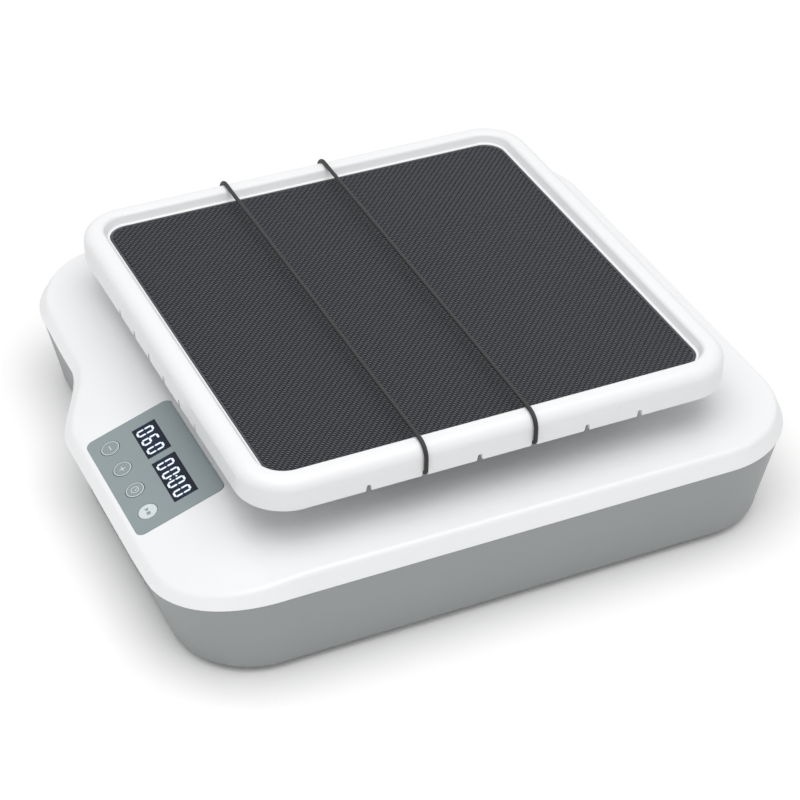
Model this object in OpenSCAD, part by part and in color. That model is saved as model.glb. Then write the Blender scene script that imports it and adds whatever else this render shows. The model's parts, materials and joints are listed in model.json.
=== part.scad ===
// Benchtop orbital shaker: a drive crank and four follower cranks carry a
// square tray round a small circle without turning it.
// Frame: +Z up, +X right, -Y front (control panel); origin on the table,
// under the middle of the housing's outline.

/* [Housing] */
// Width of the housing from side to side
body_w = 378; // [350:1:456]
// Depth of the housing without the chin under the panel
body_d = 395; // [370:1:476]
// How far the chin stands out in front
chin_out = 25; // [14:1:30]
// Height of the cover's level top above the table
body_top = 75.7; // [72:0.1:91]
// Height of the parting line between cover and base
seam_top = 64; // [60:0.1:66]
// Height of the base's underside above the table
foot_gap = 4; // [3:0.5:6]
// Wall of the moulded housing
wall = 3; // [2.5:0.1:3.6]
// Radius of the two rear corners
rear_corner_r = 64; // [40:1:76]
// Radius of the front left corner
left_corner_r = 50; // [30:1:60]
// Radius of the chin's right corner
chin_corner_r = 62; // [40:1:64]
// Where the chin starts to swell out, across the front
chin_x = -50; // [-70:1:-30]
// Width of the chin's swelling curve
chin_blend = 66; // [40:1:80]
// Width of the rounding round the cover's top edge
cover_round = 9; // [5:0.5:10]
// How far the base draws in between the parting line and its underside
base_draw = 12; // [8:0.5:16]
// Radius of the rounding round the base's underside
base_round = 7; // [4:0.5:10]

/* [Control panel] */
// Slope of the cover's front, in degrees
panel_tilt = 19.4; // [15:0.1:22]
// Depth of the sloped front, measured level
slope_run = 65; // [62:1:72]
// Width of the panel overlay
panel_w = 97.2; // [92:0.1:116]
// Length of the panel overlay down the slope
panel_l = 59.4; // [52:0.1:61]
// Middle of the panel, across the front
panel_x = 44; // [35:1:50]
// Thickness of the panel overlay
panel_t = 1.2; // [1:0.1:1.6]
// Corner radius of the panel overlay
panel_r = 5; // [2:0.5:8]
// Diameter of a key
key_d = 12; // [9.5:0.1:14.5]
// Distance from key to key
key_pitch = 22.3; // [18:0.1:26]
// Travel of a key
key_travel = 0.5; // [0.3:0.1:0.8]

/* [Tray] */
// Outer side of the square tray
tray_w = 320; // [310:1:384]
// Height of the tray from skirt to rim
tray_h = 20.5; // [18.5:0.1:24.6]
// Gap between the cover's level top and the tray's lower edge
tray_gap = 25.8; // [24:0.1:34]
// Wall of the tray's skirt
tray_wall = 3; // [2.4:0.1:3.6]
// Outer corner radius of the tray
tray_r = 31; // [24:1:36]
// Width of the rim between the mat and the tray's side
rim_w = 17; // [14:0.5:18]
// Height of the rim above the mat
rim_rise = 6.5; // [5:0.1:8]
// Thickness of the rubber mat
mat_t = 2; // [1.6:0.1:2.4]
// Corner radius of the mat
mat_r = 15; // [10:1:18]
// Width of a band notch at the tray's lower edge
notch_w = 4.2; // [3.6:0.1:5]
// Height of a band notch
notch_h = 4.6; // [3.8:0.1:5.5]
// Distance between notches on the left and right sides
notch_pitch_side = 35.6; // [30:0.1:42]
// Distance between notches on the front and rear sides
notch_pitch_front = 26.2; // [22:0.1:31]
// Diameter of a holding band
band_d = 2.7; // [2:0.1:3.2]

/* [Drive] */
// Radius of the orbit
orbit_r = 5; // [4:0.1:6]
// How far behind the origin the drive shaft stands
crank_y = 10; // [5:0.5:15]
// Distance from the drive shaft to the follower cranks, along X and Y
idler_step = 100; // [83:1:104]
// Distance from the drive shaft to the motor
motor_gap = 100; // [84:1:104]
// Diameter of the drive shaft
main_shaft_d = 15; // [12:0.5:16]
// Diameter of the drive crank's pin
main_pin_d = 12; // [10:0.5:12]
// Diameter of a follower shaft
idler_shaft_d = 10; // [8:0.5:11]
// Diameter of a follower crank's pin
idler_pin_d = 8; // [6:0.5:9]
// Diameter of the driven pulley
pulley_d = 84; // [70:1:96]
// Diameter of the motor's pulley
motor_pulley_d = 21; // [18:0.1:26]
// Outer diameter of the motor
motor_d = 56; // [46:1:66]
// Height of the motor's body
motor_h = 28; // [24:1:34]
// Radial running clearance of shafts and pins
run_gap = 0.03; // [0.02:0.01:0.08]

/* [Base fittings] */
// Distance from the origin to the feet, along X
foot_x = 138; // [120:1:145]
// Diameter of a rubber foot
foot_d = 24; // [18:1:28]
// Thickness of the steel chassis plate
plate_t = 2.5; // [2:0.1:3]
// Height of the chassis plate's underside above the table
plate_z = 16; // [15:0.5:18]

/* [Hidden] */

$fn = 64;
eps = 0.01;
touch_gap = 0.05;   // between a screw and its hole
fit_gap = 0.3;      // between moulded pieces that stand side by side
cover_white = [0.95, 0.95, 0.96];
base_grey = [0.58, 0.6, 0.6];
steel = [0.72, 0.73, 0.75];

// ---- plan outline of the housing --------------------------------------
half_w = body_w / 2;
rear_y = (body_d + chin_out) / 2;
front_y = rear_y - body_d;
chin_y = -rear_y;
slope_y = chin_y + slope_run;
seam_dip_y = slope_y - 18;
left_r = left_corner_r;
left_rise = front_y + left_r - slope_y;   // how far the left arc reaches behind the crease
crease_turn = left_rise > 1 ? asin(left_rise / left_r) : 0;
right_r = min(chin_corner_r, slope_run - 2);
arc_n = 9;
swell_n = 8;
base_chin_share = 0.7;    // how much of the chin is left at the base's underside

// An outline entry is [x, y, outward x, outward y].
function arc_edge(cx, cy, r, a0, a1) = [for (i = [0:arc_n])
    let (a = a0 + (a1 - a0) * i / arc_n)
    [cx + r * cos(a), cy + r * sin(a), cos(a), sin(a)]];
function smooth(t) = t * t * (3 - 2 * t);
function swell_edge(out) = [for (i = [1:swell_n - 1])
    let (t = i / swell_n, rise = 6 * t * (1 - t) * out / chin_blend)
    [chin_x + (t - 0.5) * chin_blend, front_y - out * smooth(t),
     -rise / norm([rise, 1]), -1 / norm([rise, 1])]];
function outline(out) = concat(
    [[half_w, slope_y, 1, 0]],
    arc_edge(half_w - rear_corner_r, rear_y - rear_corner_r, rear_corner_r, 0, 90),
    arc_edge(rear_corner_r - half_w, rear_y - rear_corner_r, rear_corner_r, 90, 180),
    crease_turn > 0 ? [[-half_w, front_y + left_r, -1, 0]] : [],
    [[left_r - half_w - left_r * cos(crease_turn), slope_y, -1 / cos(crease_turn), 0]],
    [for (e = arc_edge(left_r - half_w, front_y + left_r, left_r, 180 + crease_turn, 270))
        if (e[1] < slope_y - 0.5) e],
    swell_edge(out),
    arc_edge(half_w - right_r, front_y - out + right_r, right_r, 270, 360));
// entries from crease to crease round the back
rear_count = 2 * arc_n + 4 + (crease_turn > 0 ? 1 : 0);

function drop_below(y, y0) = max(0, y0 - y) * tan(panel_tilt);
function cover_z(y) = body_top - drop_below(y, slope_y);
function seam_z(y) = seam_top - drop_below(y, seam_dip_y);

// A ring of points, drawn in by inset. share runs from 0 at the ring's low
// level to 1 at its high one, which lies under the outer face by under.
function cover_ring(inset, share, under) = [for (e = outline(chin_out))
    let (x = e[0] - inset * e[2], y = e[1] - inset * e[3])
    [x, y, seam_z(y) + (cover_z(y) - under - seam_z(y)) * share]];
function base_out(share) = chin_out * (base_chin_share + (1 - base_chin_share) * share);
function base_inset(share) = base_draw * (1 - share) + base_step;
function base_ring(inset, share, lift) = [for (e = outline(base_out(share)))
    let (x = e[0] - inset * e[2], y = e[1] - inset * e[3])
    [x, y, foot_gap + (seam_z(y) - foot_gap) * share + lift]];
base_step = 0.8;          // the base stands this far inside the cover's edge
seam_gap = 0.4;           // shadow line between cover and base

// Closed solid through a list of rings. Each cap is two flat parts that meet
// where the slope begins, so nothing is drilled across that line.
module loft(rings) {
    n = len(rings[0]);
    last = (len(rings) - 1) * n;
    sides = [for (k = [0:len(rings) - 2], i = [0:n - 1], half = [0, 1])
        let (a = k * n + i, b = k * n + (i + 1) % n)
        half == 0 ? [a, a + n, b + n] : [a, b + n, b]];
    rear = [for (i = [0:rear_count - 1]) i];
    front = concat([for (i = [rear_count - 1:n - 1]) i], [0]);
    function turned(loop) = [for (i = [len(loop) - 1:-1:0]) loop[i] + last];
    polyhedron([for (r = rings, p = r) p],
        concat(sides, [rear, front, turned(rear), turned(front)]), convexity = 8);
}

// ---- heights and places worked out from the sizes above ----------------
floor_z = foot_gap + wall;
plate_top = plate_z + plate_t;
roof_z = body_top - wall;
tray_y = crank_y - orbit_r;
tray_low = body_top + tray_gap;
idler_xy = [for (s = [[1, -1], [1, 1], [-1, 1], [-1, -1]]) idler_step * s + [0, crank_y]];
motor_y = crank_y + motor_gap;
mat_w = tray_w - 2 * rim_w;
rim_z = tray_low + tray_h;
mat_top = rim_z - rim_rise;
deck_top = mat_top - mat_t;
deck_t = 2.5;
deck_low = deck_top - deck_t;

main_bearing = [32, 9];      // outer diameter and height
idler_bearing = [26, 8];
centre_bearing_size = [24, 6];
corner_bearing_size = [22, 7];
housing_top = plate_top + 29.5;
housing_flange_t = 4;
bearing_lift = 1;            // the lower bearings stand this far above the chassis plate
motor_z = plate_top + 2;
motor_nose = 1.5;
pulley_z = max(housing_top + 3, motor_z + motor_h + motor_nose + 1);
pulley_h = 9;
weight_z = pulley_z + pulley_h + 1;
weight_t = min(8, roof_z - weight_z - 3);
collar_top = body_top + 2.6;
hub_z = body_top + 5;
hub_t = 7;
pin_top = deck_low - 2.4;
carrier_t = 4;
boss_low = deck_low - 13;
boss_h = 12;
boss_d = 32;
boss_d_centre = 30;
clip_t = 1;

module at_idlers() { for (p = idler_xy) translate(p) children(); }
module at_tray_corners() { for (p = idler_xy) translate(p - [0, orbit_r]) children(); }
module ring(outer_d, inner_d, h) {
    difference() {
        cylinder(d = outer_d, h = h);
        translate([0, 0, -1]) cylinder(d = inner_d, h = h + 2);
    }
}
module ball_bearing(outer_d, inner_d, h) {
    groove = 0.5;
    land = (outer_d - inner_d) / 6;
    difference() {
        ring(outer_d, inner_d, h);
        for (z = [-eps, h - groove]) translate([0, 0, z])
            ring(outer_d - 2 * land, inner_d + 2 * land, groove + eps);
    }
}
module pan_screw(d, len, head_d, head_h) {
    cylinder(d = d, h = len + eps);
    translate([0, 0, len]) difference() {
        cylinder(d = head_d, h = head_h);
        translate([0, 0, head_h * 0.4]) cylinder(d = d * 0.6, h = head_h, $fn = 6);
    }
}
module rounded_plate(w, l, r, t) {
    linear_extrude(t) union() {
        square([w - 2 * r, l], center = true);
        square([w, l - 2 * r], center = true);
        for (x = [-1, 1], y = [-1, 1])
            translate([x * (w / 2 - r), y * (l / 2 - r)]) circle(r = r);
    }
}

// ---- base ---------------------------------------------------------------
screw_boss_d = 12;
edge_room = base_draw + base_round + screw_boss_d / 2;   // from the cover's edge to a screw
corner_room = rear_corner_r - (rear_corner_r - edge_room) * cos(45);
front_row_y = slope_y + 12;    // feet and left screw stand behind the crease
chin_screw_in = 12;            // the screw in the chin stands further from the side
screw_spots = [[half_w - corner_room, rear_y - corner_room],
    [corner_room - half_w, rear_y - corner_room],
    [half_w - edge_room, crank_y], [edge_room - half_w, crank_y],
    [half_w - edge_room - chin_screw_in, slope_y - 8], [edge_room + 4 - half_w, front_row_y]];
rear_foot_in = 42;             // from the rear wall to the rear feet
foot_spots = [for (x = [-1, 1], y = [front_row_y, rear_y - rear_foot_in]) [x * foot_x, y]];
chassis_edge = 30;             // the chassis plate reaches this far past the follower shafts
chassis_x = idler_step + chassis_edge;
bracket_depth = motor_d + 4;
chassis_front = crank_y - chassis_x;
chassis_rear = crank_y + max(chassis_x, motor_gap + bracket_depth / 2);
plate_screw_in = 8;
chassis_spots = [for (x = [-1, 1],
        y = [chassis_front + plate_screw_in, crank_y, chassis_rear - plate_screw_in])
    [x * (chassis_x - plate_screw_in), y]];
cover_screw_d = 4;
cover_screw_reach = 8;         // how far a cover screw goes into the cover's boss
counterbore_d = 8;
counterbore_z = 40;
base_boss_top = 50;
foot_screw_d = 4;
foot_screw_reach = 4.5;        // how far a foot screw goes in above the base's floor
foot_recess = 2.2;             // the foot screws' heads lie this deep in the rubber
foot_boss_h = 8;
plate_screw_d = 4;
plate_screw_len = 8;
plate_boss_d = 10;
blind_skin = 1.5;              // floor left under the chassis screws' holes
pocket_x = [-68, 8];           // connector recess in the rear wall, left and right
pocket_z = [17, 47];
pocket_depth = 4;              // at the recess's lower edge
inlet_x = -50;
switch_x = -18;
connector_z = 32;
inlet_hole_d = 11;
inlet_depth = 20;          // how far the inlet reaches in behind the recess
switch_cut = [19.4, 13];

function base_rear_y(z) = rear_y - base_inset((z - foot_gap) / (seam_top - foot_gap));
pocket_face_y = base_rear_y(pocket_z[0]) - pocket_depth;

module base_walls() {
    turn = [0, 30, 60, 90];
    low = base_round / (seam_top - foot_gap);
    round_in = 0.6 * base_round;   // the rounding is flatter than a quarter circle
    outer = [for (a = turn) base_ring(base_inset(low) + round_in * (1 - sin(a)),
        low * (1 - cos(a)), 0)];
    inner = [for (a = turn) base_ring(base_inset(low) + wall + round_in * (1 - sin(a)),
        low * (1 - cos(a)), wall * cos(a))];
    loft(concat(outer,
        [base_ring(base_step, 1, -seam_gap), base_ring(base_step + wall, 1, -seam_gap)],
        [for (i = [len(turn) - 1:-1:0]) inner[i]]));
}
module connector_pocket() {
    // block behind the recess, sunk halfway into the leaning rear wall
    zs = [pocket_z[0] - wall, pocket_z[1] + wall];
    sunk = wall / 2;
    translate([pocket_x[0] - wall, 0, 0]) rotate([90, 0, 90])
        linear_extrude(pocket_x[1] - pocket_x[0] + 2 * wall)
        polygon([[pocket_face_y - wall, zs[0]], [base_rear_y(zs[0]) - sunk, zs[0]],
            [base_rear_y(zs[1]) - sunk, zs[1]], [pocket_face_y - wall, zs[1]]]);
}
module base_tub() {
    color(base_grey) difference() {
        union() {
            base_walls();
            connector_pocket();
            for (p = screw_spots) translate([p[0], p[1], floor_z - 1])
                cylinder(d = screw_boss_d, h = base_boss_top - floor_z + 1);
            for (p = chassis_spots) translate([p[0], p[1], floor_z - 1])
                cylinder(d = plate_boss_d, h = plate_z - floor_z + 1);
            for (p = foot_spots) translate([p[0], p[1], floor_z - 1])
                cylinder(d = screw_boss_d, h = foot_boss_h);
        }
        for (p = screw_spots) translate(p) {
            translate([0, 0, foot_gap - 1]) cylinder(d = counterbore_d,
                h = counterbore_z - foot_gap + 1);
            cylinder(r = cover_screw_d / 2 + touch_gap, h = base_boss_top + 1);
        }
        for (p = chassis_spots) translate([p[0], p[1], foot_gap + blind_skin])
            cylinder(r = plate_screw_d / 2 + touch_gap, h = plate_z);
        for (p = foot_spots) translate([p[0], p[1], foot_gap - 1])
            cylinder(r = foot_screw_d / 2 + touch_gap, h = foot_boss_h + 2);
        translate([pocket_x[0], pocket_face_y, pocket_z[0]])
            cube([pocket_x[1] - pocket_x[0], body_d, pocket_z[1] - pocket_z[0]]);
        translate([inlet_x, pocket_face_y + 1, connector_z]) rotate([90, 0, 0])
            cylinder(r = inlet_hole_d / 2 + touch_gap, h = wall + 2);
        translate([switch_x - switch_cut[0] / 2 - touch_gap, pocket_face_y - wall - 1,
            connector_z - switch_cut[1] / 2 - touch_gap])
            cube([switch_cut[0] + 2 * touch_gap, wall + 2, switch_cut[1] + 2 * touch_gap]);
    }
}
module rubber_feet() {
    flare = 1.5;
    color([0.1, 0.1, 0.1]) for (p = foot_spots) translate(p) difference() {
        rotate_extrude() polygon([[0, 0], [foot_d / 2 - flare, 0], [foot_d / 2, foot_gap],
            [0, foot_gap]]);
        translate([0, 0, -1]) cylinder(d = foot_screw_d + 6, h = 1 + foot_recess);
        cylinder(r = foot_screw_d / 2 + touch_gap, h = foot_gap + 1);
    }
}
module foot_screws() {
    len = floor_z + foot_screw_reach - foot_recess + touch_gap;
    color(steel) for (p = foot_spots) translate([p[0], p[1], floor_z + foot_screw_reach])
        mirror([0, 0, 1]) pan_screw(foot_screw_d, len, 7, 1.6);
}
module cover_screws() {
    tip_z = base_boss_top + cover_screw_reach;
    color(steel) for (p = screw_spots) translate([p[0], p[1], tip_z])
        mirror([0, 0, 1]) pan_screw(cover_screw_d, tip_z - counterbore_z + touch_gap, 7, 2.6);
}

// ---- cover --------------------------------------------------------------
main_hole_d = main_shaft_d + 8;
idler_hole_d = idler_shaft_d + 7;
cover_boss_d = 10;
collar_wall = [6, 5];      // round the drive shaft's hole and the follower shafts'
panel_back = 1.5;          // from the crease down the slope to the panel
panel_seat = panel_t - 0.2;
window_v = 37;             // middle of the windows, up from the panel's front edge
window_h = 16.2;
speed_window = [10.5, 40.8];
time_window = [46.2, 86.3];
ledge = [6, 5, 9];         // that carries the overlay: at the sides, in front, behind
key_v = 12.5;
keys_left = 0.7;           // the row of keys stands this far left of the middle
key_u = [for (i = [0:3]) panel_w / 2 + (i - 1.5) * key_pitch - keys_left];

// Children stand on the sloped front: origin at the panel's front left
// corner, X across, Y up the slope, Z out of it.
module on_slope() {
    run = panel_back + panel_l;
    translate([panel_x - panel_w / 2, slope_y - run * cos(panel_tilt),
        body_top - run * sin(panel_tilt)]) rotate([panel_tilt, 0, 0]) children();
}
module cover_shell() {
    turn = [0, 22.5, 45, 67.5, 90];
    round_share = 0.8;
    outer = [for (a = turn) cover_ring(cover_round * (1 - cos(a)),
        1 - round_share * (1 - sin(a)), 0)];
    inner = [for (a = turn) cover_ring(wall + (cover_round - 1) * (1 - cos(a)),
        1 - round_share * (1 - sin(a)), wall)];
    loft(concat([for (i = [len(turn) - 1:-1:0]) inner[i]],
        [cover_ring(wall, 0, 0), cover_ring(0, 0, 0)], outer));
}
module top_cover() {
    color(cover_white) difference() {
        union() {
            cover_shell();
            for (p = screw_spots) translate([p[0], p[1], base_boss_top + fit_gap])
                cylinder(d = cover_boss_d, h = cover_z(p[1]) - wall / 2 - base_boss_top - fit_gap);
            translate([0, crank_y, roof_z])
                cylinder(d = main_hole_d + 2 * collar_wall[0], h = collar_top - roof_z);
            at_idlers() translate([0, 0, roof_z])
                cylinder(d = idler_hole_d + 2 * collar_wall[1], h = collar_top - roof_z);
        }
        for (p = screw_spots) translate([p[0], p[1], base_boss_top])
            cylinder(r = cover_screw_d / 2 + touch_gap, h = cover_screw_reach + 1);
        translate([0, crank_y, roof_z - 5]) cylinder(d = main_hole_d, h = 30);
        at_idlers() translate([0, 0, roof_z - 5]) cylinder(d = idler_hole_d, h = 30);
        on_slope() {
            translate([panel_w / 2, panel_l / 2, -panel_seat])
                rounded_plate(panel_w + touch_gap, panel_l + touch_gap, panel_r, 10);
            // window behind the overlay for the displays and the switches
            translate([ledge[0], ledge[1], -10])
                cube([panel_w - 2 * ledge[0], panel_l - ledge[1] - ledge[2], 12]);
        }
    }
}
module shaft_seals() {
    sunk = 0.6;            // the seals end below the collars' rims
    h = collar_top - roof_z - sunk;
    color([0.12, 0.12, 0.12]) {
        translate([0, crank_y, roof_z])
            ring(main_hole_d - 2 * touch_gap, main_shaft_d + 2 * fit_gap, h);
        at_idlers() translate([0, 0, roof_z])
            ring(idler_hole_d - 2 * touch_gap, idler_shaft_d + 2 * fit_gap, h);
    }
}

// ---- control panel --------------------------------------------------------
board_w = -7;              // top of the control board, measured out of the sloped face
board_t = 1.6;
board_margin = 8;          // from the overlay's sides to the board's
board_front = 6;           // from the overlay's front edge to the board's
switch_w = 6;
switch_h = 3;
switch_gap = 0.2;          // between a pressed key's stem and its switch
key_proud = 0.4;
key_stem_d = 4;
key_hole_d = key_d + 2 * fit_gap;
module window_block(span, low, high, gap) {
    translate([span[0] + gap, window_v - window_h / 2 + gap, low])
        cube([span[1] - span[0] - 2 * gap, window_h - 2 * gap, high - low]);
}
module control_panel() {
    color([0.56, 0.61, 0.61]) on_slope() difference() {
        translate([panel_w / 2, panel_l / 2, -panel_seat])
            rounded_plate(panel_w - touch_gap, panel_l - touch_gap, panel_r, panel_t);
        for (u = key_u) translate([u, key_v, -5]) cylinder(d = key_hole_d, h = 10);
        window_block(speed_window, -5, 5, 0);
        window_block(time_window, -5, 5, 0);
    }
}
module speed_display() {
    color([0.06, 0.08, 0.12]) on_slope() window_block(speed_window, board_w, 0, touch_gap);
}
module time_display() {
    color([0.06, 0.08, 0.12]) on_slope() window_block(time_window, board_w, 0, touch_gap);
}
module control_board() {
    color([0.1, 0.35, 0.2]) on_slope()
        translate([board_margin, board_front, board_w - board_t - touch_gap])
        cube([panel_w - 2 * board_margin, panel_l - 2 * board_margin, board_t]);
}
module key_switches() {
    color([0.2, 0.2, 0.2]) on_slope() for (u = key_u)
        translate([u - switch_w / 2, key_v - switch_w / 2, board_w])
        cube([switch_w, switch_w, switch_h]);
}
module key_cap(i) {
    // a flat button with a short stem above its switch
    stem_low = board_w + switch_h + key_travel + switch_gap;
    color([0.62, 0.66, 0.66]) on_slope() translate([key_u[i], key_v, 0]) {
        translate([0, 0, -panel_seat]) cylinder(d = key_d, h = panel_seat + key_proud);
        translate([0, 0, stem_low]) cylinder(d = key_stem_d, h = -panel_seat - stem_low + eps);
    }
}
module key_minus() { key_cap(0); }
module key_plus() { key_cap(1); }
module key_time() { key_cap(2); }
module key_run() { key_cap(3); }

// ---- chassis --------------------------------------------------------------
main_flange_d = 62;
idler_flange_d = 44;
main_flange_pcd = 51;
idler_flange_pcd = 38;
flange_screw_d = 4;
motor_screw_d = 3;
motor_foot = motor_d + 16;
motor_screw_in = 6;
motor_spots = [for (x = [-1, 1], y = [-1, 1])
    [x * (motor_foot / 2 - motor_screw_in), y * (motor_d / 2 - motor_screw_in)]];
module at_main_screws() {
    for (a = [45:90:315]) translate([0, crank_y]) rotate(a) translate([main_flange_pcd / 2, 0])
        children();
}
module at_idler_screws() {
    at_idlers() for (a = [0:120:240]) rotate(a) translate([idler_flange_pcd / 2, 0]) children();
}
module at_motor_screws() {
    for (p = motor_spots) translate([p[0], motor_y + p[1]]) children();
}
module chassis_plate() {
    color(steel) difference() {
        translate([0, (chassis_front + chassis_rear) / 2, plate_z])
            rounded_plate(2 * chassis_x, chassis_rear - chassis_front, 12, plate_t);
        for (p = chassis_spots) translate([p[0], p[1], plate_z - 1])
            cylinder(r = plate_screw_d / 2 + touch_gap, h = 10);
        translate([0, 0, plate_z - 1]) {
            at_main_screws() cylinder(r = flange_screw_d / 2 + touch_gap, h = 10);
            at_idler_screws() cylinder(r = flange_screw_d / 2 + touch_gap, h = 10);
            at_motor_screws() cylinder(r = motor_screw_d / 2 + touch_gap, h = 10);
        }
    }
}
module chassis_screws() {
    color(steel) for (p = chassis_spots) translate([p[0], p[1], plate_z - plate_screw_len])
        pan_screw(plate_screw_d, plate_screw_len + plate_t + touch_gap, 7.5, 2.6);
}
module bearing_housing(tube_wall, flange_d, bearing) {
    tube_d = bearing[0] + 2 * tube_wall;
    seat_r = bearing[0] / 2 + touch_gap;
    difference() {
        union() {
            cylinder(d = flange_d, h = housing_flange_t);
            cylinder(d = tube_d, h = housing_top - plate_top);
        }
        translate([0, 0, -1]) cylinder(d = bearing[0] - 5, h = 60);
        translate([0, 0, bearing_lift]) cylinder(r = seat_r, h = bearing[1] + touch_gap);
        translate([0, 0, housing_top - plate_top - bearing[1] - touch_gap])
            cylinder(r = seat_r, h = 30);
    }
}
module main_bearing_housing() {
    color([0.66, 0.67, 0.69]) translate([0, 0, plate_top]) difference() {
        translate([0, crank_y, 0]) bearing_housing(5, main_flange_d, main_bearing);
        translate([0, 0, -1]) at_main_screws()
            cylinder(r = flange_screw_d / 2 + touch_gap, h = 10);
    }
}
module main_bearings() {
    color(steel) for (z = [plate_top + bearing_lift, housing_top - main_bearing[1]])
        translate([0, crank_y, z]) ball_bearing(main_bearing[0], main_shaft_d, main_bearing[1]);
}
module idler_bearing_housings() {
    color([0.66, 0.67, 0.69]) translate([0, 0, plate_top]) difference() {
        at_idlers() bearing_housing(3, idler_flange_d, idler_bearing);
        translate([0, 0, -1]) at_idler_screws()
            cylinder(r = flange_screw_d / 2 + touch_gap, h = 10);
    }
}
module idler_bearings() {
    color(steel) at_idlers() for (z = [plate_top + bearing_lift, housing_top - idler_bearing[1]])
        translate([0, 0, z]) ball_bearing(idler_bearing[0], idler_shaft_d, idler_bearing[1]);
}
module housing_screws() {
    under = 1.5;   // the screws end just below the plate
    reach = under + plate_t + housing_flange_t + touch_gap;
    color(steel) translate([0, 0, plate_z - under]) {
        at_main_screws() pan_screw(flange_screw_d, reach, 7, 2.6);
        at_idler_screws() pan_screw(flange_screw_d, reach, 4.9, 2.6);
    }
}

// ---- motor and belt ---------------------------------------------------------
bracket_t = 2;
motor_shaft_d = 6;
shaft_end = 4;            // the shaft starts this far above the motor's underside
belt_w = 6;
belt_t = 1.5;
belt_z = pulley_z + (pulley_h - belt_w) / 2;
module motor_bracket() {
    color(steel) translate([0, 0, plate_top]) difference() {
        translate([0, motor_y, 0]) rounded_plate(motor_foot, bracket_depth, 5, bracket_t);
        translate([0, 0, -1]) at_motor_screws()
            cylinder(r = motor_screw_d / 2 + touch_gap, h = 10);
    }
}
module motor_body() {
    nose_d = 16;
    color([0.25, 0.26, 0.28]) translate([0, motor_y, motor_z]) difference() {
        union() {
            cylinder(d = motor_d, h = motor_h);
            translate([0, 0, motor_h - eps]) cylinder(d = nose_d, h = motor_nose);
        }
        translate([0, 0, shaft_end]) cylinder(r = motor_shaft_d / 2 + run_gap, h = motor_h);
        // room for the bracket's screws
        for (p = motor_spots) translate([p[0], p[1], -1]) cylinder(d = 8, h = 6);
    }
}
module motor_screws() {
    color(steel) translate([0, 0, plate_z - 1]) at_motor_screws()
        pan_screw(motor_screw_d, 1 + plate_t + bracket_t + touch_gap, 6, 2.2);
}
module motor_shaft() {
    color(steel) translate([0, motor_y, motor_z + shaft_end + run_gap])
        cylinder(d = motor_shaft_d, h = pulley_z + pulley_h + 1 - motor_z - shaft_end);
}
module pulley(d, bore_d) {
    // seat for the belt between two flanges
    flange = 1;
    difference() {
        union() {
            cylinder(d = d, h = pulley_h);
            for (z = [0, pulley_h - flange]) translate([0, 0, z])
                cylinder(d = d + 2 * (belt_t + 1), h = flange);
        }
        translate([0, 0, -1]) cylinder(d = bore_d, h = 30);
        children();
    }
}
module motor_pulley() {
    color([0.75, 0.75, 0.77]) translate([0, motor_y, pulley_z])
        pulley(motor_pulley_d, motor_shaft_d);
}
// Outline round both pulleys: two arcs joined by their outer tangents.
module belt_outline(grow) {
    big = pulley_d / 2 + grow;
    small = motor_pulley_d / 2 + grow;
    a = asin((big - small) / motor_gap);
    for (c = [[crank_y, big], [motor_y, small]]) translate([0, c[0]]) circle(r = c[1]);
    polygon([[big * cos(a), crank_y + big * sin(a)], [small * cos(a), motor_y + small * sin(a)],
        [-small * cos(a), motor_y + small * sin(a)], [-big * cos(a), crank_y + big * sin(a)]]);
}
module drive_belt() {
    color([0.08, 0.08, 0.08]) translate([0, 0, belt_z]) linear_extrude(belt_w) difference() {
        belt_outline(fit_gap + belt_t);
        belt_outline(fit_gap);
    }
}

// ---- boards, cables and connectors --------------------------------------------
magnet_r = 30;                      // from the shaft to the sensor's magnet
magnet_d = 6;
magnet_h = 3.9;
sensor_x = -magnet_r - 12;          // left side of the sensor's post
driver_left = 6 - chassis_x;
driver_size = [sensor_x - 16 - driver_left, 84, 1.6];
driver_corner = [driver_left, crank_y - driver_size[1] / 2, plate_top + 7];
standoff_in = 5;
standoff_xy = [for (x = [standoff_in, driver_size[0] - standoff_in],
        y = [standoff_in, driver_size[1] - standoff_in]) [x, y]];
module driver_board() {
    // transformer, terminal block, cooled regulator and capacitors: the place
    // across the board as a share of its width, the place along it and the size
    parts = [[0.15, 12, 16, 18, 12], [0.52, 10, 20, 12, 8], [0.18, 44, 22, 22, 5],
        [0.64, 50, 14, 20, 10]];
    color([0.1, 0.35, 0.2]) translate(driver_corner) difference() {
        union() {
            cube(driver_size);
            for (p = parts) translate([p[0] * driver_size[0], p[1], driver_size[2] - eps])
                cube([p[2], p[3], p[4]]);
        }
        for (p = standoff_xy) translate([p[0], p[1], -1])
            cylinder(r = motor_screw_d / 2 + touch_gap, h = 10);
    }
}
module board_standoffs() {
    color([0.8, 0.7, 0.35]) translate(driver_corner) for (p = standoff_xy) translate(p) {
        // hexagonal post, thread through the board, and its nut
        translate([0, 0, plate_top - driver_corner[2]])
            cylinder(d = 6, h = driver_corner[2] - plate_top, $fn = 6);
        translate([0, 0, -eps]) cylinder(d = motor_screw_d, h = driver_size[2] + touch_gap + eps);
        translate([0, 0, driver_size[2] + touch_gap]) cylinder(d = 5.5, h = 2);
    }
}
module speed_sensor() {
    // a small reader on a post, looking up at the magnet in the pulley
    under_pulley = 2.5;
    w = 10;
    arm_t = 4;
    post = pulley_z - under_pulley - plate_top;
    color([0.15, 0.15, 0.16]) translate([sensor_x, crank_y - w / 2, plate_top]) {
        cube([6, w, post]);
        translate([0, 0, post - arm_t]) cube([-sensor_x - magnet_r + w / 2, w, arm_t]);
    }
}
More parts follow.
